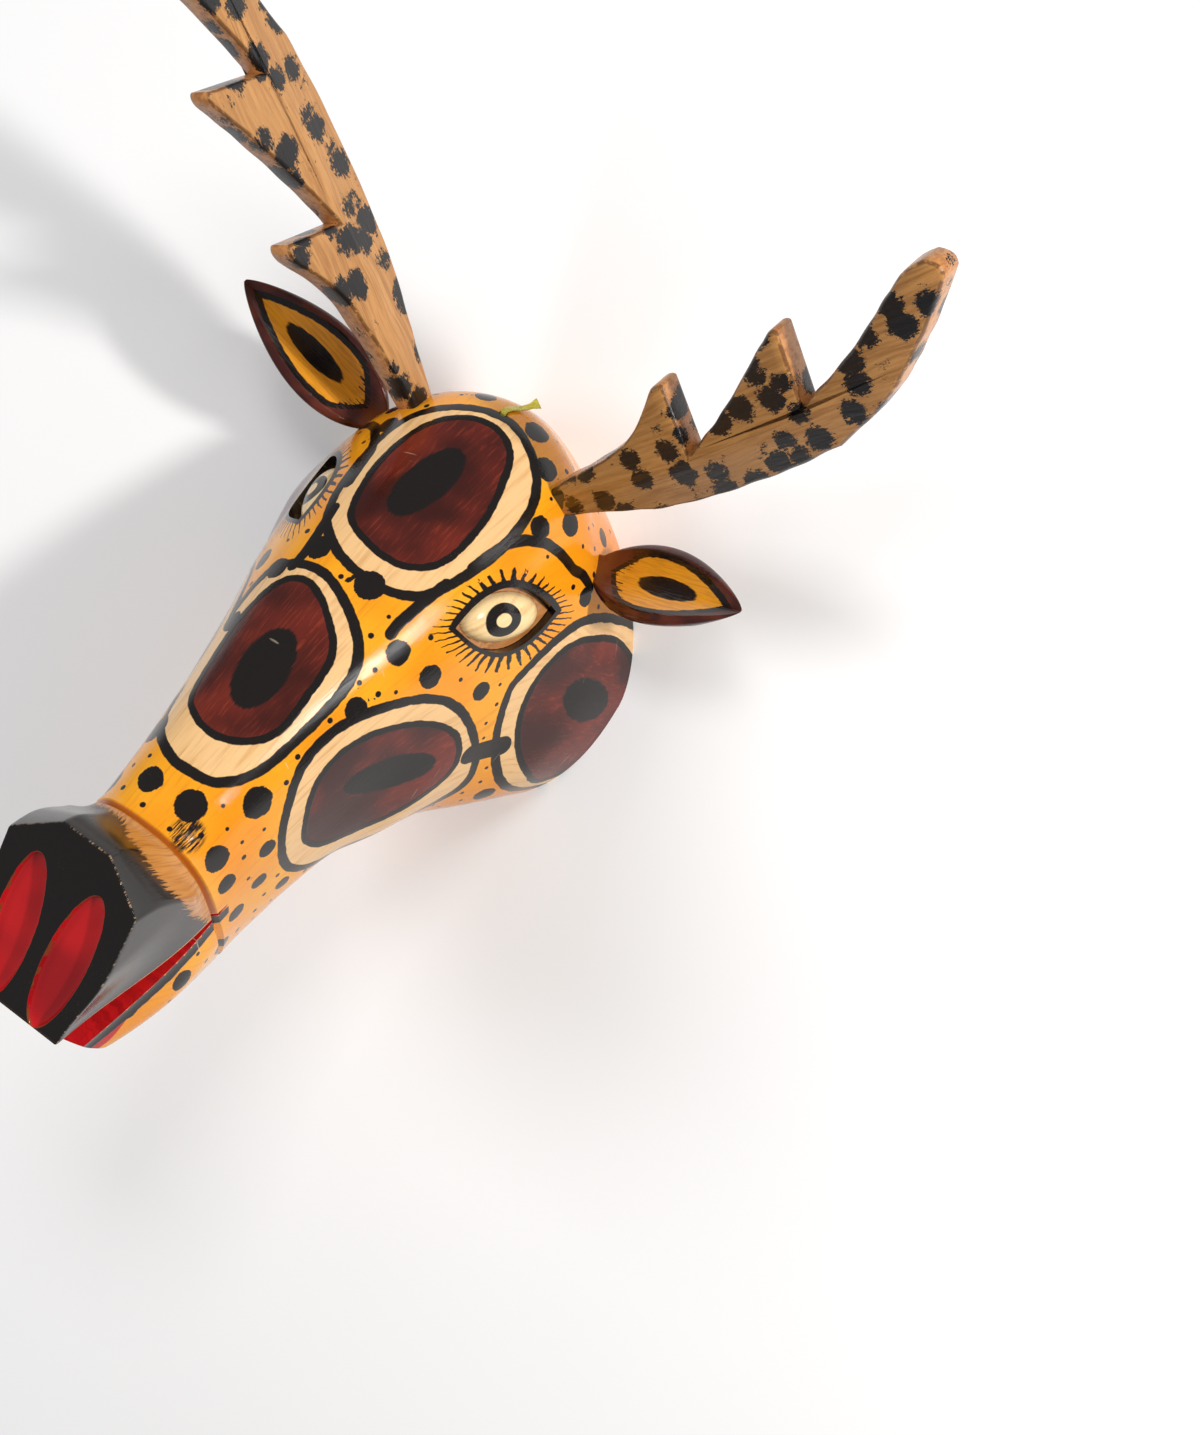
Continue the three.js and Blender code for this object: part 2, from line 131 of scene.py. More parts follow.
EAR = {"seat": (69.2, 72, 37.7), "way": (0.85, 0.3, 0.43), "front": (0.25, 0.45, 0.86)}
# The leaf's outline: lean moves its widest place, blunt fills its ends, and up to stem it keeps its neck
EAR_LEAF = {
    "length": 103, "half": 22, "edge": 3, "hollow": 3.5, "back": 8, "neck": 7, "stem": 0.3,
    "rim": 0.78, "lean": 0.78, "blunt": 0.75,
}

HOLE = {"u": 2.02, "aside": -3, "radius": 2.3}
STRIP = {"width": 3.4, "thick": 1.0, "flare": 6.5, "sides": 16}
STRIP_ROUTE = [
    (-17, 0, 0), (-8, 0, 0), (0.4, 0.1, 0), (1.6, 1.4, -0.2), (1.7, 4, -0.9),
    (1.3, 8, -2.6), (1.5, 12, -4.7), (2.8, 15.5, -6.8), (4.4, 18, -8.5),
]

# Painted ovals. Each has its middle on the head, as a place among the sections and an angle round them, the
# radius of the head there, and its outlines as points in mm: towards the nose, and across
OVALS = {
    "forehead": {
        "at": (3.05, 90), "radius": 75, "paired": False,
        "outer": [(53, -3), (52, 17), (42, 32), (20, 40), (-8, 44), (-35, 40), (-53, 24), (-61, 0),
                  (-50, -28), (-28, -45), (8, -45), (36, -36), (49, -19)],
        "inner": [(39, 0), (36, 17), (22, 28), (-6, 29), (-30, 23), (-46, 15), (-53, 0), (-48, -17),
                  (-34, -29), (-12, -34), (10, -32), (32, -23)],
        "core": {"middle": (-6, -6), "long": 25, "wide": 11.5, "turn": -6},
    },
    "snout": {
        "at": (4.85, 90), "radius": 45, "paired": False,
        "outer": [(61, 0), (57, 15), (40, 26), (10, 30), (-18, 30), (-36, 23), (-50, 4), (-56, -18),
                  (-46, -40), (-15, -47), (20, -46), (46, -36), (59, -16)],
        "inner": [(40, -8), (36, 9), (22, 20), (0, 20), (-25, 16), (-40, 1), (-48, -17), (-40, -30),
                  (-14, -36), (10, -33), (31, -26)],
        "core": {"middle": (0, -5), "long": 22.8, "wide": 12.8, "turn": 9},
    },
    "cheek": {
        "at": (3.95, 3), "radius": 90, "paired": True,
        "outer": [(64, 0), (62, 20), (46, 38), (10, 50), (-30, 52), (-46, 38), (-50, 8), (-44, -17),
                  (-25, -34), (8, -45), (36, -41), (56, -22)],
        "inner": [(50, 0), (46, 16), (33, 26), (10, 32), (-22, 32), (-37, 25), (-41, 6), (-29, -14),
                  (-6, -29), (18, -33), (38, -24)],
        "core": {"middle": (-2, 1), "long": 28, "wide": 10.5, "turn": -29},
    },
    "jowl": {
        "at": (1.15, 1.5), "radius": 100, "paired": True,
        "outer": [(46, 0), (42, -12), (26, -32), (8, -43), (-20, -45), (-45, -38), (-60, 0), (-50, 45),
                  (-20, 66), (16, 54), (38, 28)],
        "inner": [(31, 0), (28, -14), (16, -29), (-2, -34), (-24, -33), (-42, -20), (-48, 8), (-40, 40),
                  (-18, 58), (3, 47), (20, 32), (29, 15)],
        "core": {"middle": (-10, 0), "long": 19, "wide": 12, "turn": -20},
    },
}

# Large black spots: place among the sections, angle round them in degrees, radius in mm
SPOTS = [
    (3.78, 110, 6.9), (3.85, 86, 7.7), (3.98, 54, 6.3), (3.68, 32, 6.3), (2.88, 12, 5.4), (4.48, 46, 6.2),
    (5.70, 48, 8.1), (6.30, 79, 8.0), (6.33, 102, 6.7), (6.50, 41, 7.1), (5.75, 18, 5.3), (6.53, 21, 5.8),
    (5.93, 4, 4.9), (5.40, -9, 4.5), (6.48, 0, 5.4), (6.92, -13, 5.5), (7.65, -19, 5.9), (8.18, -26, 5.3),
    (1.25, -34, 6.2), (1.55, 29, 5.1), (1.83, 102, 5.6), (1.90, 80, 7.0), (2.12, 68, 6.5), (2.40, 53, 5.9),
    (1.98, 48, 6.0), (0.80, 48, 5.1),
]
# Brush marks run out from beside one spot: place, angle and reach
BRUSHED = (6.62, 68, 10)
# Spots nearer the middle line than this angle aren't repeated on the other side
MIDDLE_ANGLE = 25
# Small dots: their radius, the sections and angles they lie in, how far apart, and how many at most
DOT_RADIUS = (1.0, 1.6)
DOT_PLACES = (0.25, 7.9)
DOT_ANGLES = (-55, 235)
DOT_SPACING = 9.5
DOT_COUNT = 700
DOT_TRIES = 9000
# How far they keep from ovals, lines and large spots, the free ellipse round the eye, and how far short of
# the groove they end, as a share of a section
DOT_CLEAR = {"oval": 4, "line": 2.5, "spot": 6.5, "eye": (44, 32), "groove": 0.18}

# Painted lines on the left and right: brow, its arc to the ear, and the bar between the two side ovals
BROW = [(3.98, 64), (3.88, 65), (3.65, 64), (3.4, 62)]
BROW_ARC = [(3.15, 59), (2.78, 57), (2.58, 53), (2.35, 47), (2.15, 41), (1.90, 35), (1.68, 34), (1.43, 32)]
BAR = [(2.42, -8), (1.9, -10)]
LINE_HALF = 2.9
BAR_HALF = 6.5

# The brush strokes' own measure: mm from section to section, and the radius on which angles are laid out
SECTION_LENGTH = 40
HEAD_RADIUS = 50
# How far the hairs of the brush reach at the edge of the muzzle's black
HAIR_LENGTH = 36.0
# Distances to the ovals are needed no further than this, and no other distance is as long as the second one
OVAL_REACH = 60.0
FAR = 1e9

# Camera: its place in the drawing, its view's ways to the right and back, and the focal length and picture
# size in pixels
CAMERA_AT = (435.7, 325.0, 1288.0)
CAMERA_RIGHT = (0.79832, 0.50137, -0.33364)
CAMERA_BACK = (0.24327, 0.23832, 0.94022)
FOCAL = 2600
IMAGE = (1200, 1435)


def unit(v):
    v = np.asarray(v, float)
    return v / np.linalg.norm(v)


def smooth(x, low, high):
    t = np.clip((x - low) / (high - low), 0, 1)
    return t * t * (3 - 2 * t)


def mixed(a, b, share):
    return a + (b - a) * share


def between(a, b, c, d, k):
    """Smooth curve from b to c, where a and d are the points before and after."""
    return b + 0.5 * k * (c - a + k * (2 * a - 5 * b + 4 * c - d + k * (3 * (b - c) + d - a)))


def section_at(u):
    i = np.minimum(np.floor(u).astype(int), LAST - 1)
    return between(*[SECTIONS[np.clip(i + j, 0, LAST)] for j in (-1, 0, 1, 2)], (u - i)[..., None])


def along_mouth(y, z):
    """Place along the mouth from its corner, and height above its upper lip."""
    rise = math.radians(MOUTH["rise"])
    _, y0, z0 = MOUTH["point"]
    forward = (y0 - y) * math.cos(rise) + (z - z0) * math.sin(rise)
    height = (y - y0) * math.sin(rise) + (z - z0) * math.cos(rise)
    return forward, height


def lip_tuck(y, z):
    forward, height = along_mouth(y, z)
    ahead = smooth(forward, TUCK_FROM, MOUTH["length"])
    low = 1 - smooth(height, 0, TUCK_HEIGHT)
    below_top = -height - forward * JAW_SLOPE
    flare = JAW_FLARE * smooth(forward, *FLARE_WAY)
    jaw = mixed(-JAW_TUCK * ahead, flare, smooth(below_top, 0, FLARE_DEPTH))
    return 1 + mixed(jaw, -LIP_TUCK * low * ahead, smooth(height, -MOUTH["gap"] / 2, 0))


def outline_at(u, a, s):
    """Where angle a meets the outline of a section, as shares of its reach to the side and up."""
    c, n = np.cos(a), np.sin(a)
    power = 2 / np.where(n >= 0, s[..., 6], s[..., 7])
    size = np.maximum.reduce([np.abs(c), n, (n + FACETS["slant"] * np.abs(c)) / FACETS["corner"]])
    flat = np.where(n >= 0, smooth(u, FACETS["from"], FACETS["full"]), 0)
    aside = mixed(np.sign(c) * np.abs(c) ** power, c / size, flat)
    up = mixed(np.sign(n) * np.abs(n) ** power, n / size, flat)
    return aside, up


def head_point(u, a, shrink=0):
    """Points of section u at angle a, where 0 is the deer's left and a quarter turn the back line."""
    u, a = np.broadcast_arrays(np.asarray(u, float), np.asarray(a, float))
    s = section_at(u)
    dy = s[..., 0] - s[..., 2]
    dz = s[..., 1] - s[..., 3]
    tall = np.hypot(dy, dz)
    aside, up = outline_at(u, a, s)
    level = s[..., 5]
    reach = np.where(up >= 0, 1 - level, level) * tall - shrink
    x = (s[..., 4] - shrink) * aside
    v = level * tall + reach * up
    y = s[..., 2] + v * dy / tall
    z = s[..., 3] + v * dz / tall
    return np.stack([x * lip_tuck(y, z), y, z], -1)


def shift_to_frame():
    """How far the drawing moves to its place in the frame: the head's box tells."""
    low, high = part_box("mask")
    u = np.linspace(0, 3, 301)
    crown = head_point(u, np.full(u.shape, math.pi / 2))[:, 1].max()
    return np.array([(low[0] + high[0]) / 2, high[1] - crown * MM, low[2]])


SHIFT = shift_to_frame()


def placed(points):
    return np.asarray(points, float) * MM + SHIFT


def frame_at(origin, along, beside):
    """Axes whose x is along one direction and y as near as can be to another, as rows, and the origin."""
    x = unit(along)
    y = np.asarray(beside, float)
    y = unit(y - x * x.dot(y))
    return np.array([x, y, np.cross(x, y)]), np.asarray(origin, float)


def out_of(axes, points):
    rows, origin = axes
    return np.asarray(points, float) @ rows + origin


def into(axes, points):
    rows, origin = axes
    return (np.asarray(points, float) - origin) @ rows.T


def mirrored(v, side):
    return v if side == "left" else (-v[0], v[1], v[2])


def folded(points):
    """The same points, with those on the deer's right laid over to the left."""
    return np.column_stack([np.abs(points[:, 0]), points[:, 1:]])


def oval(long, wide, steps):
    """Points round an ellipse."""
    turns = np.linspace(0, 2 * math.pi, steps, endpoint=False)
    return np.stack([long * np.cos(turns), wide * np.sin(turns)], 1)


def hand_cut(points, size, depth):
    """A shallow, even unevenness that a knife leaves, between 0 and depth."""
    x, y, z = np.transpose(points / size)
    wave = np.sin(x * 2.1 + 1.3 * np.sin(y * 1.7)) * np.sin(y * 1.9 + 0.7 + np.sin(z * 1.4))
    wave += 0.6 * np.sin(z * 3.1 + x * 1.2 + 2.0) * np.sin(y * 3.7 - z * 0.8)
    return depth * (0.5 + wave / 3.2)


def new_object(name, points, faces, drawn=True):
    mesh = bpy.data.meshes.new(name)
    where = placed(points) if drawn else np.asarray(points, float)
    mesh.from_pydata(where.tolist(), [], faces)
    mesh.validate()
    piece = bpy.data.objects.new(name, mesh)
    bpy.context.scene.collection.objects.link(piece)
    return piece


def grid_faces(rows, columns, wrap=True):
    faces = []
    for r in range(rows - 1):
        for i in range(columns if wrap else columns - 1):
            j = (i + 1) % columns
            faces.append((r * columns + i, r * columns + j, (r + 1) * columns + j, (r + 1) * columns + i))
    return faces


def points_of(piece):
    flat = np.empty(len(piece.data.vertices) * 3)
    piece.data.vertices.foreach_get("co", flat)
    return (flat.reshape(-1, 3) - SHIFT) / MM


def set_number(piece, name, values):
    layer = piece.data.attributes.new(name, "FLOAT", "POINT")
    layer.data.foreach_set("value", np.asarray(values, np.float32))


def set_vector(piece, name, *columns):
    layer = piece.data.attributes.new(name, "FLOAT_VECTOR", "POINT")
    layer.data.foreach_set("vector", np.column_stack(columns).astype(np.float32).ravel())


def smooth_shaded(piece, angle):
    piece.data.polygons.foreach_set("use_smooth", [True] * len(piece.data.polygons))
    piece.data.set_sharp_from_angle(angle=math.radians(angle))


def face_outwards(piece):
    work = bmesh.new()
    work.from_mesh(piece.data)
    bmesh.ops.recalc_face_normals(work, faces=work.faces)
    work.to_mesh(piece.data)
    work.free()


def apply_modifiers(piece):
    graph = bpy.context.evaluated_depsgraph_get()
    made = bpy.data.meshes.new_from_object(piece.evaluated_get(graph), depsgraph=graph)
    piece.modifiers.clear()
    old = piece.data
    piece.data = made
    bpy.data.meshes.remove(old)


def cut(piece, cutters):
    for cutter in cutters:
        face_outwards(cutter)
        step = piece.modifiers.new("cut", "BOOLEAN")
        step.operation = "DIFFERENCE"
        step.solver = "MANIFOLD"
        step.object = cutter
    apply_modifiers(piece)
    for cutter in cutters:
        bpy.data.objects.remove(cutter)


# The carved head

def nose_axes():
    tilt = math.radians(NOSE["tilt"])
    return frame_at(NOSE["point"], (0, math.cos(tilt), math.sin(tilt)), (-1, 0, 0))


def mouth_axes():
    rise = math.radians(MOUTH["rise"])
    forward = (0, -math.cos(rise), math.sin(rise))
    return frame_at(MOUTH["point"], forward, (0, math.sin(rise), math.cos(rise)))


def eye_axes(side):
    return frame_at(mirrored(EYE["centre"], side), mirrored(EYE["out"], side), mirrored(EYE["long"], side))


def nose_end(a):
    """For each angle, the place among the sections where the nose's rounded edge begins."""
    low = np.full(a.shape, NOSE["from"])
    high = np.full(a.shape, float(LAST))
    for _ in range(30):
        middle = (low + high) / 2
        above = into(nose_axes(), head_point(middle, a))[:, 2] > -NOSE["round"]
        high = np.where(above, middle, high)
        low = np.where(above, low, middle)
    return (low + high) / 2


def skin_rings():
    """Rings of the outer skin from rim to nose, each with its place among the sections."""
    a = -math.pi / 2 + 2 * math.pi * np.arange(AROUND) / AROUND
    end = nose_end(a)
    stops = list(np.arange(0, GROOVE - 3.5 * GROOVE_HALF, PITCH))
    stops += list(GROOVE + GROOVE_HALF * np.linspace(-3, 3, 13))
    split = stops[-1]
    shares = np.linspace(0, 1, int((LAST - split) / PITCH))[1:]
    rings = []
    places = []
    for stop in stops:
        near = abs(stop - GROOVE) / GROOVE_HALF
        rings.append(head_point(np.full(AROUND, stop), a, GROOVE_DEPTH * max(0, 1 - near)))
        places.append(np.full(AROUND, stop))
    for share in shares:
        u = split + share * (end - split)
        rings.append(head_point(u, a))
        places.append(u)
    return rings, places, a


def nose_cap(last):
    """Rings that round the nose face's edge and close it: a plane above, the loft's end below."""
    local = into(nose_axes(), last)
    back, throat = [into(nose_axes(), (0, *SECTIONS[-1][k:k + 2])) for k in (0, 2)]
    slope = (back[2] - throat[2]) / (back[0] - throat[0])

    def face(ring):
        return np.minimum(0, throat[2] + slope * (ring[:, 0] - throat[0]))

    middle = local[:, :2].mean(0)
    rings = []
    for turn in np.linspace(0, math.pi / 2, 5)[1:]:
        ring = local.copy()
        inward = middle - ring[:, :2]
        inward /= np.linalg.norm(inward, axis=1)[:, None]
        ring[:, :2] += inward * NOSE["round"] * (1 - math.cos(turn))
        ring[:, 2] += (face(ring) - ring[:, 2]) * math.sin(turn)
        rings.append(ring)
    rounded = rings[-1]
    for share in np.linspace(1, 0, 26)[1:-1]:
        ring = rounded.copy()
        ring[:, :2] = middle + (ring[:, :2] - middle) * share
        ring[:, 2] = face(ring)
        rings.append(ring)
    return [out_of(nose_axes(), ring) for ring in rings]


def hollow_rings(a):
    """Rings of the hollow, from its dome to the rim."""
    rings = []
    for share in np.linspace(1, 0, 44):
        close = 1 - math.sqrt(1 - share ** 4)
        rings.append(head_point(np.full(AROUND, CAVITY_END * share), a, WALL + DOME_EXTRA * close))
    return rings


def head_grid():
    outer, places, a = skin_rings()
    cap = nose_cap(outer[-1])
    hollow = hollow_rings(a)
    rings = hollow + outer + cap
    points = np.concatenate(rings)
    faces = grid_faces(len(rings), AROUND)
    for ring, turned in ((0, True), (len(rings) - 1, False)):
        centre = len(points)
        points = np.vstack([points, rings[ring].mean(0)])
        for i in range(AROUND):
            b, c = ring * AROUND + i, ring * AROUND + (i + 1) % AROUND
            faces.append((c, b, centre) if turned else (b, c, centre))
    skin = np.concatenate(outer)
    return points, faces, skin, np.concatenate(places), np.tile(a, len(outer)), len(hollow)


def stacked(name, outlines, axes, depth):
    """A solid through outlines that stand evenly over a depth along the z of some axes."""
    n = len(outlines[0])
    heights = np.linspace(-depth / 2, depth / 2, len(outlines))
    points = [(x, y, z) for z, outline in zip(heights, outlines) for x, y in outline]
    last = len(points) - n
    faces = grid_faces(len(outlines), n)
    faces += [tuple(range(n)), tuple(range(last + n - 1, last - 1, -1))]
    return new_object(name, out_of(axes, points), faces)


def chin_radius(aside):
    return CHIN["radius"] + CHIN["bulge"] * (1 - (aside / CHIN["half"]) ** 2)


def jaw_reach(aside):
    """How far the flat top of the jaw goes forward from the mouth's corner."""
    spread = 1 + JAW_SLOPE ** 2
    centre = CHIN["centre"]
    return (centre + np.sqrt(centre ** 2 - spread * (centre ** 2 - chin_radius(aside) ** 2))) / spread


def mouth_outline(aside):
    """Seen from the side, all that the open mouth and the round chin leave away."""
    far = 1.5 * MOUTH["length"]
    centre, radius, reach = CHIN["centre"], chin_radius(aside), float(jaw_reach(aside))
    last = math.atan2(-JAW_SLOPE * reach, reach - centre)
    turns = np.linspace(-math.pi / 2, last, 34)
    lip = [(far * k, 0) for k in np.linspace(0, 1, 54)]
    chin = [(centre + radius * math.cos(t), radius * math.sin(t)) for t in turns]
    jaw = [(reach * k, -JAW_SLOPE * reach * k) for k in np.linspace(1, 0, 36)[1:-1]]
    return lip + [(far, -2 * far), (centre, -2 * far)] + chin + jaw


def mouth_cutter():
    half = MOUTH["width"] / 2
    step = 2
    outlines = [mouth_outline(x) for x in np.arange(-half, half + step, step)]
    return stacked("mouth_cutter", outlines, mouth_axes(), MOUTH["width"])


def nostril_axes(sign):
    """Axes in a nostril's middle: out of the nose face, along the nostril and across it."""
    (up, aside, out), _ = nose_axes()
    lean = sign * NOSTRIL["lean"]
    along = up * math.cos(lean) + aside * math.sin(lean)
    across = aside * math.cos(lean) - up * math.sin(lean)
    origin = out_of(nose_axes(), (NOSTRIL["up"], sign * NOSTRIL["x"], 0))
    return np.array([out, along, across]), origin


def nostril_cutter(side):
    def floor(share, *_):
        return -NOSTRIL["depth"] * (1 - share ** 8) ** 0.5

    rim = oval(NOSTRIL["length"], NOSTRIL["half"], 72)
    return bowl("nostril_cutter", nostril_axes(-1 if side == "left" else 1), rim, floor)


def bowl(name, axes, rim, floor):
    """A cutter with a shaped floor, its rim in the second and third axes and the first one pointing out."""
    rings = 28
    around = len(rim)
    points = []
    for share in np.linspace(0, 1, rings + 1):
        points += [(floor(share, y, z), y, z) for y, z in rim * share]
    lid = 5 * EYE_POCKET
    points += [(lid, y, z) for y, z in rim] + [(lid, 0, 0)]
    faces = grid_faces(rings + 2, around)
    last = (rings + 1) * around
    faces += [(last + i, last + (i + 1) % around, last + around) for i in range(around)]
    cutter = new_object(name, out_of(axes, points), faces)
    work = bmesh.new()
    work.from_mesh(cutter.data)
    bmesh.ops.remove_doubles(work, verts=work.verts, dist=1e-7)
    work.to_mesh(cutter.data)
    work.free()
    return cutter


def eye_cutter(side):
    """An almond pocket whose floor swells up into the eyeball."""
    half = EYE["height"] / 2
    rim = oval(EYE["length"] / 2, half, 96)
    rim[:, 1] *= np.abs(rim[:, 1]) / half

    def floor(_, along, across):
        ball = 1 - (along / EYEBALL["length"]) ** 2 - (across / EYEBALL["height"]) ** 2
        return max(-EYE_POCKET, EYEBALL["depth"] * math.sqrt(max(0, ball)) - EYEBALL["sunk"])

    return bowl("eye_cutter", eye_axes(side), rim, floor)


def hole_axes():
    here = head_point(HOLE["u"], math.pi / 2)
    down = head_point(HOLE["u"] - 0.2, math.pi / 2) - here
    here = np.array([HOLE["aside"], here[1], here[2]])
    return frame_at(here, np.cross([1, 0, 0], down), down)


def hole_cutter():
    rows, origin = hole_axes()
    outline = oval(HOLE["radius"], HOLE["radius"], 24)
    return stacked("hole_cutter", [outline] * 2, (rows[[1, 2, 0]], origin), 4 * WALL)


def places_of(points, skin, place, angle):
    """Place among the sections and angle of any point, from the skin's own points near it."""
    tree = KDTree(len(skin))
    for i, p in enumerate(skin):
        tree.insert(p, i)
    tree.balance()
    u = np.empty(len(points))
    a = np.empty(len(points))
    for i, p in enumerate(points):
        found = tree.find_n(p, 3)
        weight = np.array([1 / (f[2] + 1e-4) for f in found])
        index = [f[1] for f in found]
        u[i] = (place[index] * weight).sum() / weight.sum()
        a[i] = angle[index[0]]
    return u, a


def closed_curve(points, steps=8):
    """Smooth closed curve through points."""
    k = (np.arange(steps) / steps)[:, None]
    turned = [np.roll(np.asarray(points, float), back, 0) for back in (1, 0, -1, -2)]
    return np.concatenate([between(*corners, k) for corners in zip(*turned)])


def distance_to_outline(points, outline):
    """Distance in the plane to a closed outline, less than nothing inside it."""
    best = np.full(len(points), FAR)
    inside = np.zeros(len(points), bool)
    for i in range(len(outline)):
        a, b = outline[i], outline[(i + 1) % len(outline)]
        way = b - a
        t = np.clip(((points - a) @ way) / max(way @ way, 1e-12), 0, 1)
        best = np.minimum(best, np.hypot(*(points - a - t[:, None] * way).T))
        crosses = (a[1] > points[:, 1]) != (b[1] > points[:, 1])
        with np.errstate(divide="ignore", invalid="ignore"):
            x = a[0] + (points[:, 1] - a[1]) * way[0] / way[1]
        inside ^= crosses & (points[:, 0] < x)
    return np.where(inside, -best, best)


def distance_to_ellipse(points, core):
    turn = math.radians(core["turn"])
    p = points - np.array(core["middle"])
    x = p[:, 0] * math.cos(turn) + p[:, 1] * math.sin(turn)
    y = -p[:, 0] * math.sin(turn) + p[:, 1] * math.cos(turn)
    r = np.hypot(x, y)
    return r - r / np.maximum(np.hypot(x / core["long"], y / core["wide"]), 1e-6)


def unrolled(points, at, radius):
    """Points as laid flat from the head's round: towards the nose and across, in mm."""
    u, degrees = at
    a = math.radians(degrees)
    centre = head_point(u, a)
    along = unit(head_point(u + 0.05, a) - head_point(u - 0.05, a))
    sideways = head_point(u, a + 0.035) - head_point(u, a - 0.035)
    out = unit(np.cross(along, sideways))
    inside = np.array([0, -30, 60])
    out = out if out @ (centre - inside) > 0 else -out
    away = points - centre
    across = away @ np.cross(out, along)
    return np.stack([away @ along, radius * np.arctan2(across, radius + away @ out)], 1)


def distance_to_line(points, places, half):
    line = np.array([head_point(u, math.radians(a)) for u, a in places])
    best = np.full(len(points), FAR)
    for a, b in zip(line[:-1], line[1:]):
        way = b - a
        t = np.clip(((points - a) @ way) / (way @ way), 0, 1)
        best = np.minimum(best, np.linalg.norm(points - a - t[:, None] * way, axis=1))
    return best - half


def oval_fields(points):
    """Distances to the outer and inner outlines and to the dark middle of the nearest painted oval."""
    fields = np.full((3, len(points)), OVAL_REACH)
    for painted in OVALS.values():
        flat = unrolled(folded(points) if painted["paired"] else points, painted["at"], painted["radius"])
        outer = distance_to_outline(flat, closed_curve(painted["outer"]))
        inner = distance_to_outline(flat, closed_curve(painted["inner"]))
        fields = np.minimum(fields, [outer, inner, distance_to_ellipse(flat, painted["core"])])
    return fields


def line_field(points):
    """Distance to the nearest painted line's edge."""
    lines = ((BROW, LINE_HALF), (BROW_ARC, LINE_HALF), (BAR, BAR_HALF))
    return np.minimum.reduce([distance_to_line(folded(points), line, half) for line, half in lines])


def eye_field(points):
    """Along and across the eye, and out of it, the same on both sides."""
    out, along, down = into(eye_axes("left"), folded(points)).T
    return np.stack([along, -down, out], 1)


def large_spots():
    spots = []
    for u, degrees, radius in SPOTS:
        spots.append((head_point(u, math.radians(degrees)), radius))
        if abs(degrees - 90) > MIDDLE_ANGLE:
            spots.append((head_point(u, math.radians(180 - degrees)), radius))
    return spots


def small_dots(large):
    """Small dots strewn over the bare stain, clear of everything painted and of each other."""
    draw = np.random.default_rng(7)
    u = draw.uniform(*DOT_PLACES, DOT_TRIES)
    a = np.radians(draw.uniform(*DOT_ANGLES, DOT_TRIES))
    radius = draw.uniform(*DOT_RADIUS, DOT_TRIES)
    points = head_point(u, a)
    along, across, out = eye_field(points).T
    long, wide = DOT_CLEAR["eye"]
    free = oval_fields(points)[0] > DOT_CLEAR["oval"]
    free &= line_field(points) > DOT_CLEAR["line"]
    free &= ~((np.hypot(along / long, across / wide) < 1) & (out > EYE_BACK - 3))
    forward, height = along_mouth(points[:, 1], points[:, 2])
    free &= (u < GROOVE - DOT_CLEAR["groove"]) | ((height < -6) & (forward > -15))
    kept = []
    for p, r, ok in zip(points, radius, free):
        if not ok or len(kept) >= DOT_COUNT:
            continue
        if any(np.linalg.norm(p - q) < size + DOT_CLEAR["spot"] for q, size in large):
            continue
        if any(np.linalg.norm(p - q) < DOT_SPACING for q, _ in kept):
            continue
        kept.append((p, r))
    return kept


def spot_fields(points):
    """For each point the nearest spot's middle and radius, and the gap to its edge."""
    large = large_spots()
    spots = large + small_dots(large)
    centres = np.array([p for p, _ in spots])
    radii = np.array([r for _, r in spots])
    best = np.full(len(points), FAR)
    chosen = np.zeros(len(points), int)
    for i, (centre, radius) in enumerate(zip(centres, radii)):
        gap = np.linalg.norm(points - centre, axis=1) - radius
        chosen = np.where(gap < best, i, chosen)
        best = np.minimum(best, gap)
    return centres[chosen], radii[chosen], best


def mouth_fields(points):
    """Way along the mouth, height above the upper lip, depth below the jaw's top, and what is that top."""
    forward, height = along_mouth(points[:, 1], points[:, 2])
    below = -(height + JAW_SLOPE * forward)
    top = (np.abs(below) < 0.2) & (forward > 0)
    return forward, height, below, top


def nostril_field(points):
    """Distance to the nearest nostril's rim, and height over the nose face."""
    core = {"middle": (0, 0), "long": NOSTRIL["length"], "wide": NOSTRIL["half"], "turn": 0}
    rims = []
    for sign in (-1, 1):
        local = into(nostril_axes(sign), points)
        rims.append(distance_to_ellipse(local[:, 1:], core))
    return np.minimum(*rims), local[:, 0]


def paint_head_fields(piece, skin, place, angle):
    points = points_of(piece)
    u, a = places_of(points, skin, place, angle)
    set_vector(piece, "ovals", *oval_fields(points))
    centres, radii, gap = spot_fields(points)
    set_vector(piece, "spot_middle", placed(centres))
    set_vector(piece, "spot", radii, gap, line_field(points))
    beside, degrees, reach = BRUSHED
    marks = head_point(beside, math.radians(degrees))
    set_number(piece, "brushed", np.linalg.norm(points - marks, axis=1) / reach)
    set_vector(piece, "eye", eye_field(points))
    forward, height, below, top = mouth_fields(points)
    set_vector(piece, "mouth", forward, height, below)
    set_number(piece, "jaw_top", top)
    nostril, above = nostril_field(points)
    dark_from = np.interp(np.degrees(a), *np.transpose(DARK_FROM))
    set_vector(piece, "muzzle", (u - dark_from) * SECTION_LENGTH, nostril, above)
    set_vector(piece, "flow", u * SECTION_LENGTH, (a - math.pi / 2) * HEAD_RADIUS, u)


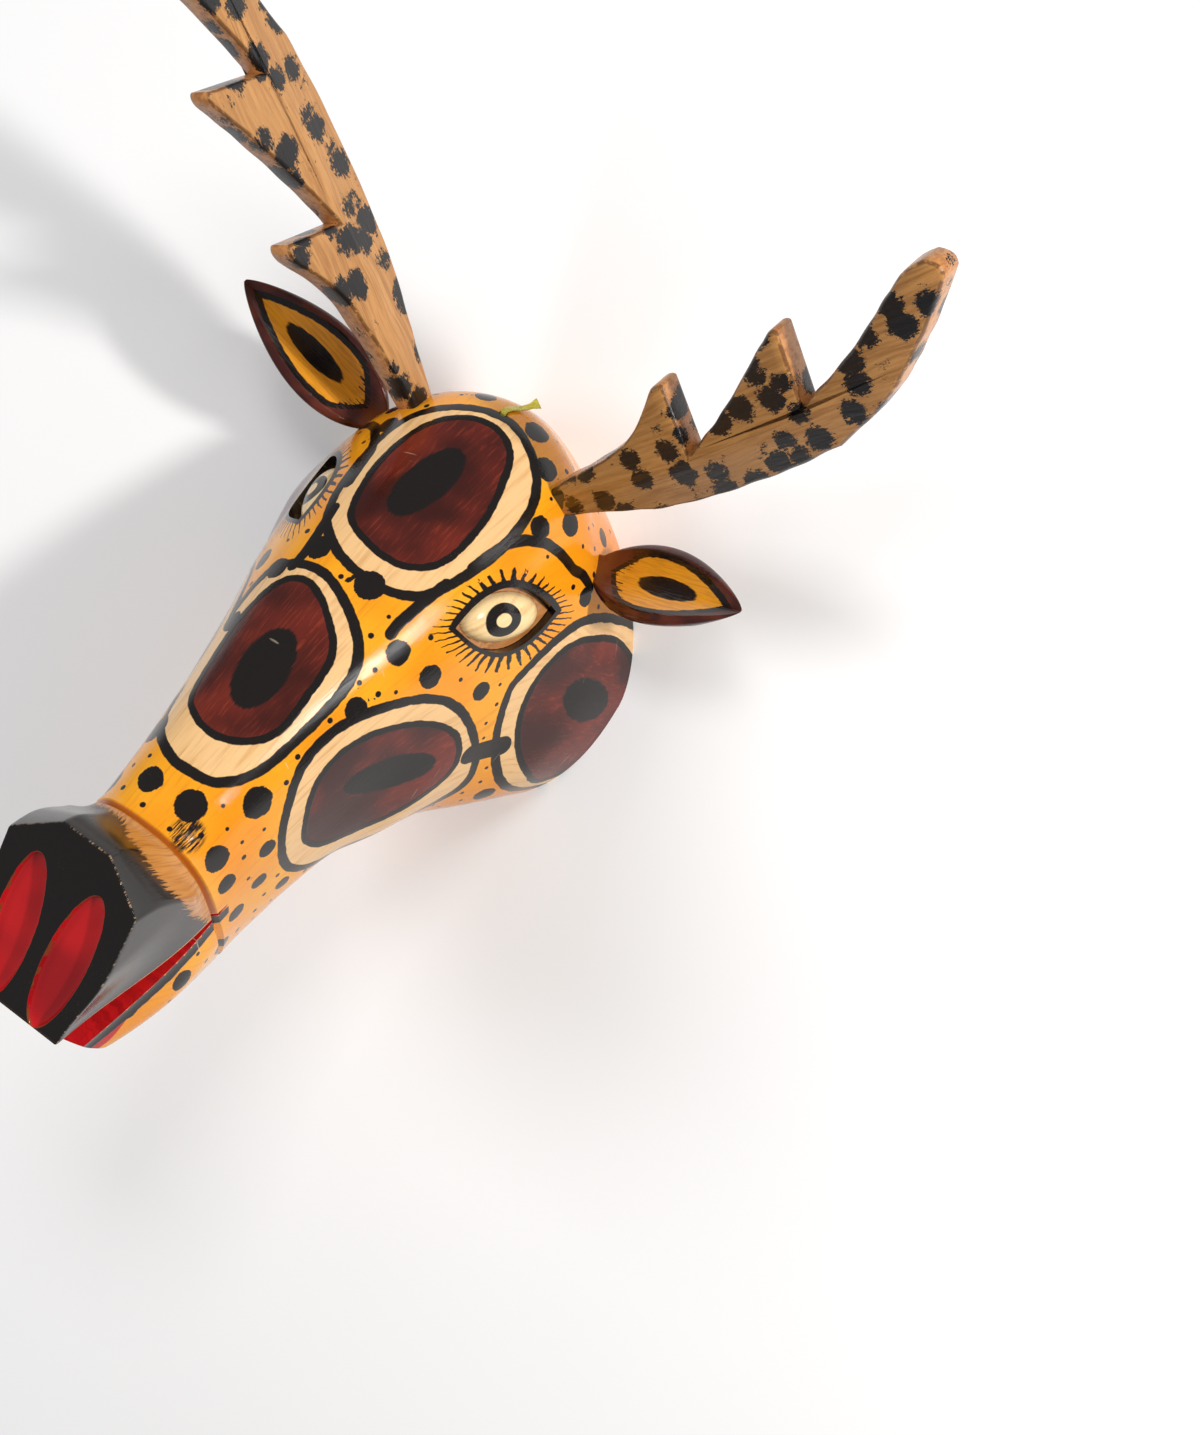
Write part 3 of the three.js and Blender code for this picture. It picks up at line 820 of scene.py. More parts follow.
def make_head():
    points, faces, skin, place, angle, hollow = head_grid()
    head = new_object("carved_head", points, faces)
    head.data.materials.append(painted_wood())
    head.data.materials.append(bare_wood())
    # The hollow's rings and the fan of faces that closes its dome are bare
    bare = np.zeros(len(faces), int)
    bare[:hollow * AROUND] = 1
    bare[len(faces) - 2 * AROUND:len(faces) - AROUND] = 1
    head.data.polygons.foreach_set("material_index", bare)
    face_outwards(head)
    cutters = [mouth_cutter(), hole_cutter()]
    for side in ("left", "right"):
        cutters += [nostril_cutter(side), eye_cutter(side)]
    cut(head, cutters)
    paint_head_fields(head, skin, place, angle)
    smooth_shaded(head, 32)
    return head


# Antlers

def spline(points, steps=10):
    """Smooth open curve through points, its ends doubled."""
    p = np.asarray([points[0]] + list(points) + [points[-1]], float)
    curve = []
    for i in range(len(p) - 3):
        curve += [between(*p[i:i + 4], step / steps) for step in range(steps)]
    return curve + [p[-1]]


def bend(a, b, c, steps=6):
    a, b, c = np.array(a, float), np.array(b, float), np.array(c, float)
    ks = np.arange(1, steps + 1) / steps
    return [(1 - k) ** 2 * a + 2 * k * (1 - k) * b + k * k * c for k in ks]


def antler_outline():
    """Outline of an antler board: x along it, y towards its two tines."""
    path = spline([(-6, -12), (30, -18), (75, -26), (120, -28), (165, -27), (200, -24)])
    path += spline([(200, -24), (238, -12), (264, 2), (286, 16), (305, 30)])[1:]
    path += bend((305, 30), (308.5, 36.2), (300, 41))
    path += bend((300, 41), (288, 42), (273, 34))
    path += spline([(273, 34), (247, 21), (221, 10), (193, 0)])[1:]
    path += [np.array([204.0, 35.0])]
    path += bend((204, 35), (202, 39), (194, 35))
    path += spline([(194, 35), (165, 20), (137, 7), (109, -4)])[1:]
    path += [np.array([120.0, 31.0])]
    path += bend((120, 31), (118, 35), (110, 32))
    path += spline([(110, 32), (83, 16), (57, 9), (26, 5), (-6, 2)])[1:]
    return np.array(path)


def inset(outline, amounts):
    """An outline drawn in by an amount at each of its points."""
    before = outline - np.roll(outline, 1, 0)
    after = np.roll(outline, -1, 0) - outline
    before /= np.linalg.norm(before, axis=1)[:, None]
    after /= np.linalg.norm(after, axis=1)[:, None]
    inward = np.stack([-(before + after)[:, 1], (before + after)[:, 0]], 1)
    inward /= np.linalg.norm(inward, axis=1)[:, None]
    square = np.abs(before[:, 0] * inward[:, 1] - before[:, 1] * inward[:, 0])
    return outline + inward * (amounts / np.maximum(square, 0.6))[:, None]


def make_antler(side):
    axes = frame_at(mirrored(ANTLER_SEAT, side), ANTLER_WAY[side], ANTLER_TINES[side])
    middle = (axes[0], axes[1] - axes[0][2] * ANTLER_THICK / 2)
    outline = antler_outline()
    flat_side = tessellate_polygon([[Vector((x, y, 0)) for x, y in outline]])
    other = 0 if side == "left" else 400
    place = np.column_stack([outline + other, np.full(len(outline), other)])
    outline = inset(outline, hand_cut(place, ANTLER_CUTS["size"], ANTLER_CUTS["depth"]))
    profile = [(drawn, -height) for drawn, height in reversed(ANTLER_EDGE)] + ANTLER_EDGE
    rings = []
    for drawn, height in profile:
        ring = inset(outline, np.full(len(outline), drawn))
        rings.append(np.column_stack([ring, np.full(len(ring), height)]))
    local = np.concatenate(rings)
    n = len(outline)
    faces = grid_faces(len(rings), n)
    faces += [tuple(reversed(corners)) for corners in flat_side]
    faces += [tuple(i + len(local) - n for i in corners) for corners in flat_side]
    board = new_object(f"{side}_antler_board", out_of(middle, local), faces)
    face_outwards(board)
    set_vector(board, "board", local + (0 if side == "left" else 520))
    set_number(board, "board_edge", np.repeat([drawn for drawn, _ in profile], n))
    board.data.materials.append(antler_wood())
    smooth_shaded(board, 38)
    return board


# Ears

def leaf_half(share):
    leaf = EAR_LEAF["half"] * np.sin(math.pi * share ** EAR_LEAF["lean"]) ** EAR_LEAF["blunt"]
    return np.maximum(leaf, np.where(share < EAR_LEAF["stem"], EAR_LEAF["neck"], 0.01))


def leaf_height(share, c, is_front):
    """Height of the leaf's front or back, at a share of its length and a share c of its half width."""
    full = min(1, (1 - share) * 4)
    thick = EAR_LEAF["edge"] * math.sqrt(max(0, 1 - c ** 8))
    dish = EAR_LEAF["hollow"] * max(0, 1 - (c / EAR_LEAF["rim"]) ** 2) * min(1, share * 5)
    bulge = EAR_LEAF["back"] * (1 - c * c)
    return full * (thick - dish if is_front else -thick - bulge)


def make_ear(side):
    way = np.array(mirrored(EAR["way"], side))
    front = np.array(mirrored(EAR["front"], side))
    axes = frame_at(mirrored(EAR["seat"], side), way, np.cross(front, way))
    shares = np.clip(1 - (1 - np.linspace(0, 1, 90) ** 0.9) ** 1.15, 0, 0.995)
    halves = leaf_half(shares)
    half_steps = 36
    around = 2 * half_steps
    across = [math.cos(math.pi * i / half_steps) for i in range(half_steps)]
    rings = []
    marks = []
    for share, half in zip(shares, halves):
        for is_front, row in ((True, across), (False, [-c for c in across])):
            for c in row:
                rings.append((EAR_LEAF["length"] * share, half * c, leaf_height(share, c, is_front)))
                marks.append((share, c, 1.0 if is_front else -1.0))
    faces = grid_faces(len(shares), around)
    faces += [tuple(range(around - 1, -1, -1)), tuple(range(len(rings) - around, len(rings)))]
    leaf = new_object(f"{side}_ear_leaf", out_of(axes, rings), faces)
    face_outwards(leaf)
    outline = np.column_stack([EAR_LEAF["length"] * shares, halves])
    outline = np.vstack([outline, outline[::-1] * [1, -1]])
    flat = np.array(rings)[:, :2]
    set_vector(leaf, "leaf", np.array(marks))
    set_vector(leaf, "leaf_place", flat, -distance_to_outline(flat, outline))
    leaf.data.materials.append(ear_paint())
    smooth_shaded(leaf, 50)
    return leaf


# Hanging strip

def make_strip():
    axes = hole_axes()
    route = np.array(spline(STRIP_ROUTE, 6))
    sides = STRIP["sides"]
    last = len(route) - 1
    rings = []
    for i, p in enumerate(route):
        way = unit(route[min(i + 1, last)] - route[max(i - 1, 0)])
        across = unit(np.array([0, 0, 1.0]) - way * way[2])
        thick = np.cross(way, across)
        share = smooth(np.array(i / last), 0.82, 1.0)
        half = mixed(STRIP["width"], STRIP["flare"], share) / 2
        for t in np.linspace(0, 2 * math.pi, sides, endpoint=False):
            c = np.sign(math.cos(t)) * abs(math.cos(t)) ** 0.35
            s = np.sign(math.sin(t)) * abs(math.sin(t)) ** 0.6
            fold = 0.25 * math.sin(3 * c + i * 0.4) * share
            rings.append(p + across * c * half * 0.98 + thick * (s * STRIP["thick"] * 0.45 + fold))
    faces = grid_faces(len(route), sides)
    faces += [tuple(range(sides - 1, -1, -1)), tuple(range(len(rings) - sides, len(rings)))]
    strip = new_object("plastic_strip", out_of(axes, rings), faces)
    face_outwards(strip)
    strip.data.materials.append(strip_plastic())
    smooth_shaded(strip, 60)
    return strip


# Materials

class Shader:
    """Builds one node material, with short names for the nodes it needs."""

    def __init__(self, name):
        self.material = bpy.data.materials.new(name)
        self.material.use_nodes = True
        self.tree = self.material.node_tree
        self.surface = self.tree.nodes["Principled BSDF"]

    def link(self, socket, value):
        if isinstance(value, bpy.types.NodeSocket):
            self.tree.links.new(value, socket)
        else:
            socket.default_value = value

    def node(self, kind, **settings):
        made = self.tree.nodes.new(kind)
        for name, value in settings.items():
            setattr(made, name, value)
        return made

    def math(self, operation, a, b=0.0, c=0.0):
        made = self.node("ShaderNodeMath", operation=operation)
        for socket, value in zip(made.inputs, (a, b, c)):
            self.link(socket, value)
        return made.outputs[0]

    def plus(self, a, b):
        return self.math("ADD", a, b)

    def less(self, a, b):
        return self.math("SUBTRACT", a, b)

    def times(self, a, b):
        return self.math("MULTIPLY", a, b)

    def over(self, a, b):
        return self.math("DIVIDE", a, b)

    def size(self, a):
        return self.math("ABSOLUTE", a)

    def length(self, a, b):
        """Length of the slanted side over two square ones."""
        return self.math("SQRT", self.plus(self.times(a, a), self.times(b, b)))

    def ellipse(self, x, y, long, wide):
        """Grows with the square of the distance from an ellipse's middle, and is 1 on its outline."""
        across = self.math("POWER", self.over(y, wide), 2.0)
        return self.plus(self.math("POWER", self.over(x, long), 2.0), across)

    def vector_math(self, operation, a, b=(0, 0, 0), scale=1.0):
        made = self.node("ShaderNodeVectorMath", operation=operation)
        self.link(made.inputs[0], a)
        self.link(made.inputs[1], b)
        if operation == "SCALE":
            self.link(made.inputs[3], scale)
        return made.outputs["Value" if operation == "DISTANCE" else "Vector"]

    def field(self, name):
        return self.node("ShaderNodeAttribute", attribute_name=name).outputs["Vector"]

    def number(self, name):
        return self.node("ShaderNodeAttribute", attribute_name=name).outputs["Fac"]

    def parts(self, vector):
        made = self.node("ShaderNodeSeparateXYZ")
        self.link(made.inputs[0], vector)
        return made.outputs

    def position(self):
        return self.node("ShaderNodeTexCoord").outputs["Object"]

    def scaled(self, vector, x, y, z):
        return self.vector_math("MULTIPLY", vector, (x, y, z))

    def noise(self, vector, scale, detail=3.0, rough=0.55):
        """Noise with one scale, or with one for each direction."""
        if isinstance(scale, tuple):
            vector, scale = self.scaled(vector, *scale), 1.0
        made = self.node("ShaderNodeTexNoise")
        self.link(made.inputs["Vector"], vector)
        self.link(made.inputs["Scale"], scale)
        self.link(made.inputs["Detail"], detail)
        self.link(made.inputs["Roughness"], rough)
        return made.outputs["Fac"]

    def cells(self, vector, randomness=1.0):
        made = self.node("ShaderNodeTexVoronoi")
        self.link(made.inputs["Vector"], vector)
        self.link(made.inputs["Scale"], 1.0)
        self.link(made.inputs["Randomness"], randomness)
        return made.outputs

    def ramp(self, value, low, high, start=0.0, end=1.0):
        """Goes smoothly from start to end as the value goes from low to high."""
        made = self.node("ShaderNodeMapRange", interpolation_type="SMOOTHSTEP")
        for socket, item in zip(made.inputs, (value, low, high, start, end)):
            self.link(socket, item)
        return made.outputs[0]

    def shifted(self, limit, by):
        return self.plus(limit, by) if isinstance(limit, bpy.types.NodeSocket) else limit + by

    def below(self, value, limit, soft=0.25):
        return self.ramp(value, self.shifted(limit, -soft), self.shifted(limit, soft), 1.0, 0.0)

    def above(self, value, limit, soft=0.25):
        return self.ramp(value, limit - soft, limit + soft)

    def near(self, value, middle, reach, soft=0.25):
        return self.below(self.size(self.less(value, middle)), reach, soft)

    def both(self, *masks):
        result = masks[0]
        for mask in masks[1:]:
            result = self.times(result, mask)
        return result

    def either(self, *masks):
        result = masks[0]
        for mask in masks[1:]:
            result = self.math("MAXIMUM", result, mask)
        return result

    def without(self, mask):
        return self.less(1.0, mask)

    def mix(self, mask, a, b):
        made = self.node("ShaderNodeMix", data_type="RGBA")
        self.link(made.inputs[0], mask)
        self.link(made.inputs[6], a if isinstance(a, bpy.types.NodeSocket) else (*a, 1))
        self.link(made.inputs[7], b if isinstance(b, bpy.types.NodeSocket) else (*b, 1))
        return made.outputs[2]

    def shade(self, value, low, high, a, b):
        return self.mix(self.ramp(value, low, high), a, b)

    def wobble(self, value, noise, amount):
        """Adds a centred noise to a distance, as an unsteady brush does."""
        return self.plus(value, self.times(self.less(noise, 0.5), 2 * amount))

    def bump(self, height, distance, strength=1.0, before=None):
        made = self.node("ShaderNodeBump")
        made.inputs["Distance"].default_value = distance * MM
        made.inputs["Strength"].default_value = strength
        self.link(made.inputs["Height"], height)
        if before is not None:
            self.link(made.inputs["Normal"], before)
        return made.outputs["Normal"]

    def varnish(self, colour, roughness, normal, coat=0.6, coat_roughness=0.12):
        self.link(self.surface.inputs["Base Color"], colour)
        self.link(self.surface.inputs["Roughness"], roughness)
        self.link(self.surface.inputs["Normal"], normal)
        self.surface.inputs["Specular IOR Level"].default_value = 0.5 - 0.5 * min(1, coat)
        self.surface.inputs["Coat Weight"].default_value = coat
        self.surface.inputs["Coat Roughness"].default_value = coat_roughness
        self.surface.inputs["Coat IOR"].default_value = 1.5
        self.link(self.surface.inputs["Coat Normal"], normal)
        return self.material


STAIN = (0.74, 0.25, 0.005)
STAIN_DEEP = (0.48, 0.1, 0.003)
STAIN_LIGHT = (0.8, 0.34, 0.012)
CREAM = (0.74, 0.46, 0.21)
CREAM_DARK = (0.56, 0.3, 0.11)
BLACK = (0.008, 0.006, 0.005)
BLACK_WORN = (0.05, 0.03, 0.018)
MAROON = (0.036, 0.006, 0.004)
MAROON_RED = (0.13, 0.015, 0.008)
RED = (0.52, 0.009, 0.011)
RED_DEEP = (0.31, 0.005, 0.008)
# Dull tan of the eye's pocket: partly its own colour, partly painted shade of the recess
SHADED_POCKET_TAN = (0.46, 0.2, 0.06)
GROOVE_ORANGE = (0.4, 0.1, 0.01)


def stain(s, flow, grain, patch):
    """Orange-yellow stain, deeper along the grain and redder towards the crown."""
    colour = s.shade(patch, 0.3, 0.72, STAIN, STAIN_LIGHT)
    colour = s.mix(s.times(s.ramp(grain, 0.5, 0.8), 0.5), colour, STAIN_DEEP)
    place = s.parts(flow)[2]
    crown = s.ramp(place, 2.6, 0.4, 0.0, 0.5)
    return s.mix(crown, colour, (0.72, 0.2, 0.01))


def oval_paint(s, colour, grain, patch, edge, streak):
    """Black line, cream ring, black line, maroon field and its black middle."""
    outer, inner, core = s.parts(s.field("ovals"))
    outer = s.wobble(outer, edge, 0.9)
    inner = s.wobble(inner, edge, 0.9)
    core = s.wobble(core, streak, 2.2)
    cream = s.shade(grain, 0.45, 0.75, CREAM, CREAM_DARK)
    colour = s.mix(s.below(outer, -1.6), colour, cream)
    field = s.shade(patch, 0.4, 0.66, MAROON, MAROON_RED)
    field = s.mix(s.both(s.ramp(streak, 0.5, 0.7), s.ramp(patch, 0.4, 0.6)), field, (0.2, 0.028, 0.012))
    colour = s.mix(s.below(inner, 0.0), colour, field)
    colour = s.mix(s.below(core, 0.0, 0.9), colour, BLACK)
    return colour, s.either(s.near(outer, 0.0, 2.6), s.near(inner, 0.0, 1.9))


def eye_paint(s, colour, edge, grain):
    """Cream lens with its ring, tan pocket whose dull tan is partly painted shade of the recess, thick
    almond line and lashes all round.
    """
    along, across, out = s.parts(s.field("eye"))
    here = s.above(out, EYE_BACK, 1.0)
    half = EYE["length"] / 2
    rise = EYE["height"] / 2
    share = s.over(along, half)
    top = s.times(s.less(1.0, s.times(share, share)), rise)
    slope = s.length(1.0, s.times(share, 2 * rise / half))
    gap = s.wobble(s.over(s.less(s.size(across), top), slope), edge, 0.5)
    ball = s.ellipse(along, across, EYEBALL["length"], EYEBALL["height"])
    # The pocket's wall is a dull tan, darker than the lens: partly its own colour, partly painted shade in
    # the recess
    shaded_pocket = s.shade(grain, 0.4, 0.7, SHADED_POCKET_TAN, (0.3, 0.11, 0.03))
    lens = s.shade(grain, 0.45, 0.8, (0.84, 0.6, 0.3), CREAM_DARK)
    inside = s.mix(s.below(ball, 1.0, 0.04), shaded_pocket, lens)
    ring = s.ellipse(s.plus(along, EYE_RING["back"]), across, EYE_RING["long"], EYE_RING["wide"])
    ring = s.wobble(s.math("SQRT", ring), edge, 0.04)
    inside = s.mix(s.both(s.below(ring, 1.0, 0.03), s.above(ring, EYE_RING["hole"], 0.03)), inside, BLACK)
    colour = s.mix(s.both(s.below(gap, 0.0, 0.15), here), colour, inside)
    rim = s.both(s.above(gap, -0.3, 0.2), s.below(gap, s.ramp(across, 6.0, -6.0, 2.4, 3.6), 0.2))
    lash_turn = 2 * math.pi / LASHES
    turn = s.wobble(s.math("ARCTAN2", s.over(across, rise), share), edge, 0.05)
    phase = s.math("FRACT", s.times(turn, 1 / lash_turn))
    aside = s.times(s.times(s.size(s.less(phase, 0.5)), lash_turn), s.length(along, across))
    tip = s.ramp(across, -6.0, 6.0, 9.0, 11.0)
    tip = s.wobble(tip, s.noise(s.field("eye"), 0.35, 1.0), 3.0)
    thin = s.ramp(gap, 1.0, tip, 1.0, 0.5)
    end = s.ramp(gap, s.less(tip, 0.5), tip, 1.0, 0.0)
    lash = s.both(s.below(aside, thin, 0.14), s.above(gap, 1.5, 0.3), end)
    return colour, s.both(s.either(rim, lash), here)


def spot_paint(s, edge, streak, bristle):
    """Ragged black spots, the painted lines at brow and side, and the brush marks beside one spot."""
    away = s.over(s.vector_math("DISTANCE", s.position(), s.field("spot_middle")), MM)
    radius, gap, line = s.parts(s.field("spot"))
    rough = s.times(s.plus(s.less(edge, 0.5), s.less(streak, 0.5)), 0.3)
    limit = s.times(radius, s.plus(1.0, rough))
    spot = s.both(s.below(s.less(away, limit), 0.0, 0.18), s.below(gap, 1.6, 0.1))
    marks = s.both(s.below(s.number("brushed"), 0.85, 0.15), s.above(bristle, 0.48, 0.02))
    return s.either(spot, s.below(s.wobble(line, edge, 0.6), 0.0), marks)


def muzzle_paint(s, colour, edge, bristle, grain, patch):
    """Black muzzle block with red nostrils, a bare tan band behind it, and the red mouth."""
    dark, nostril, above = s.parts(s.field("muzzle"))
    forward, height, below = s.parts(s.field("mouth"))
    place = s.parts(s.field("flow"))[2]
    top = s.above(s.number("jaw_top"), 0.5, 0.3)
    ahead = s.above(forward, 0.0, 0.5)
    upper = s.above(height, -4.0, 1.0)
    block = s.above(place, GROOVE - 0.05, 0.02)
    band = s.shade(grain, 0.4, 0.75, (0.5, 0.21, 0.045), (0.3, 0.1, 0.02))
    colour = s.mix(s.both(block, upper), colour, band)
    colour = s.mix(s.both(s.near(place, GROOVE, 0.045, 0.02), upper), colour, GROOVE_ORANGE)
    hair = s.times(s.less(bristle, 0.5), HAIR_LENGTH)
    black = s.both(s.above(s.plus(dark, hair), 0.0, 0.8), s.above(height, 0.8, 0.25))
    # A thin pale line along the upper lip's edge, paler towards the mouth's corner and black at the front:
    # worn paint and a painted highlight on the edge
    lip_edge_wear_and_highlight = s.both(s.below(height, 0.8, 0.25), s.above(height, -0.4, 0.2), ahead)
    lip = s.shade(forward, 30, 100, (0.55, 0.22, 0.05), (0.25, 0.1, 0.04))
    lip = s.shade(forward, 84, 96, lip, BLACK)
    colour = s.mix(lip_edge_wear_and_highlight, colour, lip)
    red = s.shade(grain, 0.35, 0.7, RED, RED_DEEP)
    colour = s.mix(s.both(top, ahead, s.near(below, 0.0, 0.35, 0.15)), colour, red)
    jaw_side = s.both(s.below(height, -2.0, 0.3), ahead, s.without(top))
    red_depth = s.ramp(forward, 62.0, 80.0, 7.0, 13.0)
    colour = s.mix(s.both(jaw_side, s.below(s.less(below, red_depth), 0.0, 0.4)), colour, red)
    black = s.either(black, s.both(jaw_side, s.below(s.wobble(below, edge, 0.9), 8.0, 0.4)))
    worn_edge = s.both(s.near(above, -0.9, 0.5, 0.2), s.ramp(bristle, 0.52, 0.58), block)
    colour = s.mix(worn_edge, s.mix(black, colour, BLACK), (0.3, 0.2, 0.12))
    black = s.both(black, s.without(worn_edge))
    rim = s.wobble(nostril, edge, 0.5)
    hollow = s.both(s.below(rim, 0.3, 0.2), s.above(above, -6.0, 0.5))
    crimson = s.shade(patch, 0.35, 0.7, RED, RED_DEEP)
    worn_rim = s.both(s.above(rim, -0.7, 0.2), s.ramp(edge, 0.45, 0.55))
    return colour, black, hollow, s.mix(worn_rim, crimson, (0.2, 0.05, 0.015))


def painted_wood():
    s = Shader("painted_wood")
    flow = s.field("flow")
    place = s.position()
    grain = s.noise(flow, (0.035, 0.55, 0.0), 5.0, 0.6)
    streak = s.noise(flow, (0.12, 1.1, 0.0), 4.0, 0.65)
    bristle = s.noise(flow, (0.06, 0.8, 0.0), 5.0, 0.75)
    patch = s.noise(place, 22.0, 2.0, 0.5)
    edge = s.noise(place, 160.0, 3.0, 0.6)
    speck = s.noise(place, 900.0, 3.0, 0.7)
    colour = stain(s, flow, grain, patch)
    colour, line = oval_paint(s, colour, grain, patch, edge, streak)
    colour, black, hollow, crimson = muzzle_paint(s, colour, edge, bristle, grain, patch)
    spots = spot_paint(s, edge, streak, bristle)
    worn = s.mix(s.both(s.ramp(speck, 0.6, 0.75), s.ramp(patch, 0.5, 0.65)), BLACK, BLACK_WORN)
    spots = s.both(spots, s.without(s.above(s.number("jaw_top"), 0.5, 0.3)))
    paint = s.either(line, black, spots)
    colour = s.mix(paint, colour, worn)
    colour, lash = eye_paint(s, colour, edge, grain)
    colour = s.mix(lash, colour, worn)
    colour = s.mix(hollow, colour, crimson)
    scratch = s.both(s.ramp(s.noise(flow, (0.5, 0.04, 0.0), 2.0, 0.5), 0.71, 0.74),
                     s.ramp(patch, 0.52, 0.6), s.without(hollow))
    colour = s.mix(s.times(scratch, 0.35), colour, (0.75, 0.6, 0.45))
    rough = s.ramp(speck, 0.3, 0.7, 0.3, 0.45)
    normal = s.bump(streak, 0.25, 0.35)
    normal = s.bump(speck, 0.1, 0.5, normal)
    normal = s.bump(paint, 0.12, 0.5, normal)
    return s.varnish(colour, rough, normal, 1.0, 0.055)


def bare_wood():
    """The unpainted inside: gouge marks across pale wood."""
    s = Shader("bare_wood")
    place = s.position()
    grain = s.noise(place, (260.0, 18.0, 60.0), 5.0, 0.6)
    patch = s.noise(place, 30.0, 2.0)
    gouge = s.cells(s.scaled(place, 60.0, 110.0, 60.0))["Distance"]
    colour = s.shade(grain, 0.35, 0.7, (0.62, 0.38, 0.18), (0.42, 0.22, 0.09))
    colour = s.mix(s.times(s.ramp(patch, 0.4, 0.7), 0.4), colour, (0.34, 0.17, 0.07))
    normal = s.bump(gouge, 1.6, 0.7)
    normal = s.bump(grain, 0.3, 0.4, normal)
    return s.varnish(colour, s.ramp(grain, 0.3, 0.7, 0.5, 0.7), normal, 0.0)


def antler_wood():
    """Brown board with its grain lengthwise and dry black brush dabs."""
    s = Shader("antler_wood")
    board = s.field("board")
    wave = s.noise(board, (0.012, 0.03, 0.03), 2.0)
    drift = s.vector_math("SCALE", (0, 1, 0), scale=s.times(wave, 6.0))
    grain = s.noise(s.vector_math("ADD", s.scaled(board, 0.03, 0.5, 0.5), drift), 1.0, 5.0, 0.62)
    fine = s.noise(board, (0.15, 3.5, 3.5), 3.0, 0.6)
    patch = s.noise(board, 0.025, 2.0)
    bristle = s.noise(board, (0.35, 1.1, 1.1), 5.0, 0.75)
    ragged = s.noise(board, 0.22, 3.0, 0.65)
    places = s.vector_math("ADD", s.scaled(board, 0.052, 0.068, 0.068), (0.3, 0.2, 0.1))
    cells = s.cells(places, 0.8)
    away = s.wobble(s.wobble(cells["Distance"], bristle, 0.36), ragged, 0.24)
    size = s.ramp(s.parts(cells["Color"])[0], 0.0, 1.0, 0.38, 0.53)
    dab = s.below(away, size, 0.015)
    colour = s.shade(grain, 0.32, 0.7, (0.52, 0.25, 0.075), (0.32, 0.13, 0.03))
    colour = s.mix(s.times(s.ramp(patch, 0.35, 0.7), 0.5), colour, (0.42, 0.2, 0.06))
    colour = s.mix(s.times(s.ramp(fine, 0.55, 0.75), 0.35), colour, (0.16, 0.07, 0.02))
    drawn = s.number("board_edge")
    end_grain = s.shade(ragged, 0.4, 0.7, (0.5, 0.22, 0.07), (0.3, 0.11, 0.03))
    colour = s.mix(s.below(drawn, 0.4, 0.3), colour, end_grain)
    rub = s.both(s.above(drawn, 0.15, 0.1), s.below(drawn, 1.3, 0.4), s.ramp(ragged, 0.35, 0.5))
    colour = s.mix(s.times(rub, 0.75), colour, (0.09, 0.035, 0.012))
    colour = s.mix(dab, colour, (0.004, 0.003, 0.003))
    rough = s.ramp(fine, 0.3, 0.7, 0.32, 0.48)
    normal = s.bump(grain, 0.5, 0.5)
    normal = s.bump(fine, 0.2, 0.35, normal)
    normal = s.bump(dab, 0.1, 0.5, normal)
    return s.varnish(colour, rough, normal, 0.55, 0.22)


def ear_paint():
    """Maroon leaf with a black line round an ochre field and its black middle."""
    s = Shader("ear_paint")
    share, _, front = s.parts(s.field("leaf"))
    _, aside, edge = s.parts(s.field("leaf_place"))
    place = s.position()
    ragged = s.noise(place, 220.0, 3.0, 0.6)
    bristle = s.noise(s.field("leaf_place"), (0.05, 0.6, 0.0), 4.0, 0.7)
    streak = s.noise(s.field("leaf_place"), (0.06, 0.9, 0.0), 3.0)
    patch = s.noise(place, 60.0, 2.0)
    colour = s.shade(patch, 0.35, 0.7, (0.04, 0.008, 0.006), (0.1, 0.02, 0.01))
    colour = s.mix(s.times(s.below(share, 0.1, 0.05), 0.35), colour, (0.28, 0.09, 0.02))
    facing = s.above(front, 0.0, 0.4)
    field = s.shade(streak, 0.4, 0.7, (0.68, 0.27, 0.015), (0.5, 0.2, 0.012))
    inward = s.wobble(edge, ragged, 0.8)
    inward = s.less(inward, s.ramp(share, 0.3, 0.08, 0.0, 7.0))
    base = s.ramp(share, 0.34, 0.16, 0.0, 6.0)
    inward = s.less(inward, s.both(base, s.ramp(bristle, 0.5, 0.62)))
    colour = s.mix(s.both(s.above(inward, 4.6), facing), colour, BLACK)
    colour = s.mix(s.both(s.above(inward, 8.0), facing), colour, field)
    core = s.ellipse(s.less(share, 0.5), aside, 0.2, 5.6)
    core = s.wobble(core, bristle, 0.35)
    colour = s.mix(s.both(s.below(core, 1.0, 0.1), facing), colour, BLACK)
    rough = s.ramp(ragged, 0.3, 0.7, 0.24, 0.4)
    normal = s.bump(streak, 0.4, 0.4)
    normal = s.bump(patch, 0.8, 0.4, normal)
    return s.varnish(colour, rough, normal, 1.0, 0.1)


def strip_plastic():
    s = Shader("strip_plastic")
    place = s.position()
    cloud = s.noise(place, 350.0, 2.0)
    colour = s.shade(cloud, 0.35, 0.7, (0.86, 0.78, 0.12), (0.7, 0.6, 0.06))
    s.surface.inputs["Transmission Weight"].default_value = 0.35
    normal = s.bump(cloud, 0.15, 0.4)
    return s.varnish(colour, s.ramp(cloud, 0.3, 0.7, 0.22, 0.35), normal, 0.3)


def floor_paint():
    s = Shader("pale_floor")
    cloud = s.noise(s.position(), 3.0, 2.0)
    colour = s.mix(cloud, (0.88, 0.87, 0.86), (0.91, 0.9, 0.89))
    return s.varnish(colour, s.ramp(cloud, 0.3, 0.7, 0.75, 0.85), s.bump(cloud, 0.1, 0.1), 0.0)


# Room: floor, lights and camera

def make_floor():
    low = CAD_BOX[0][2]
    reach = 6.0
    corners = [(-reach, -reach, low), (reach, -reach, low), (reach, reach, low), (-reach, reach, low)]
    floor = new_object("floor", corners, [(0, 1, 2, 3)], drawn=False)
    floor.data.materials.append(floor_paint())


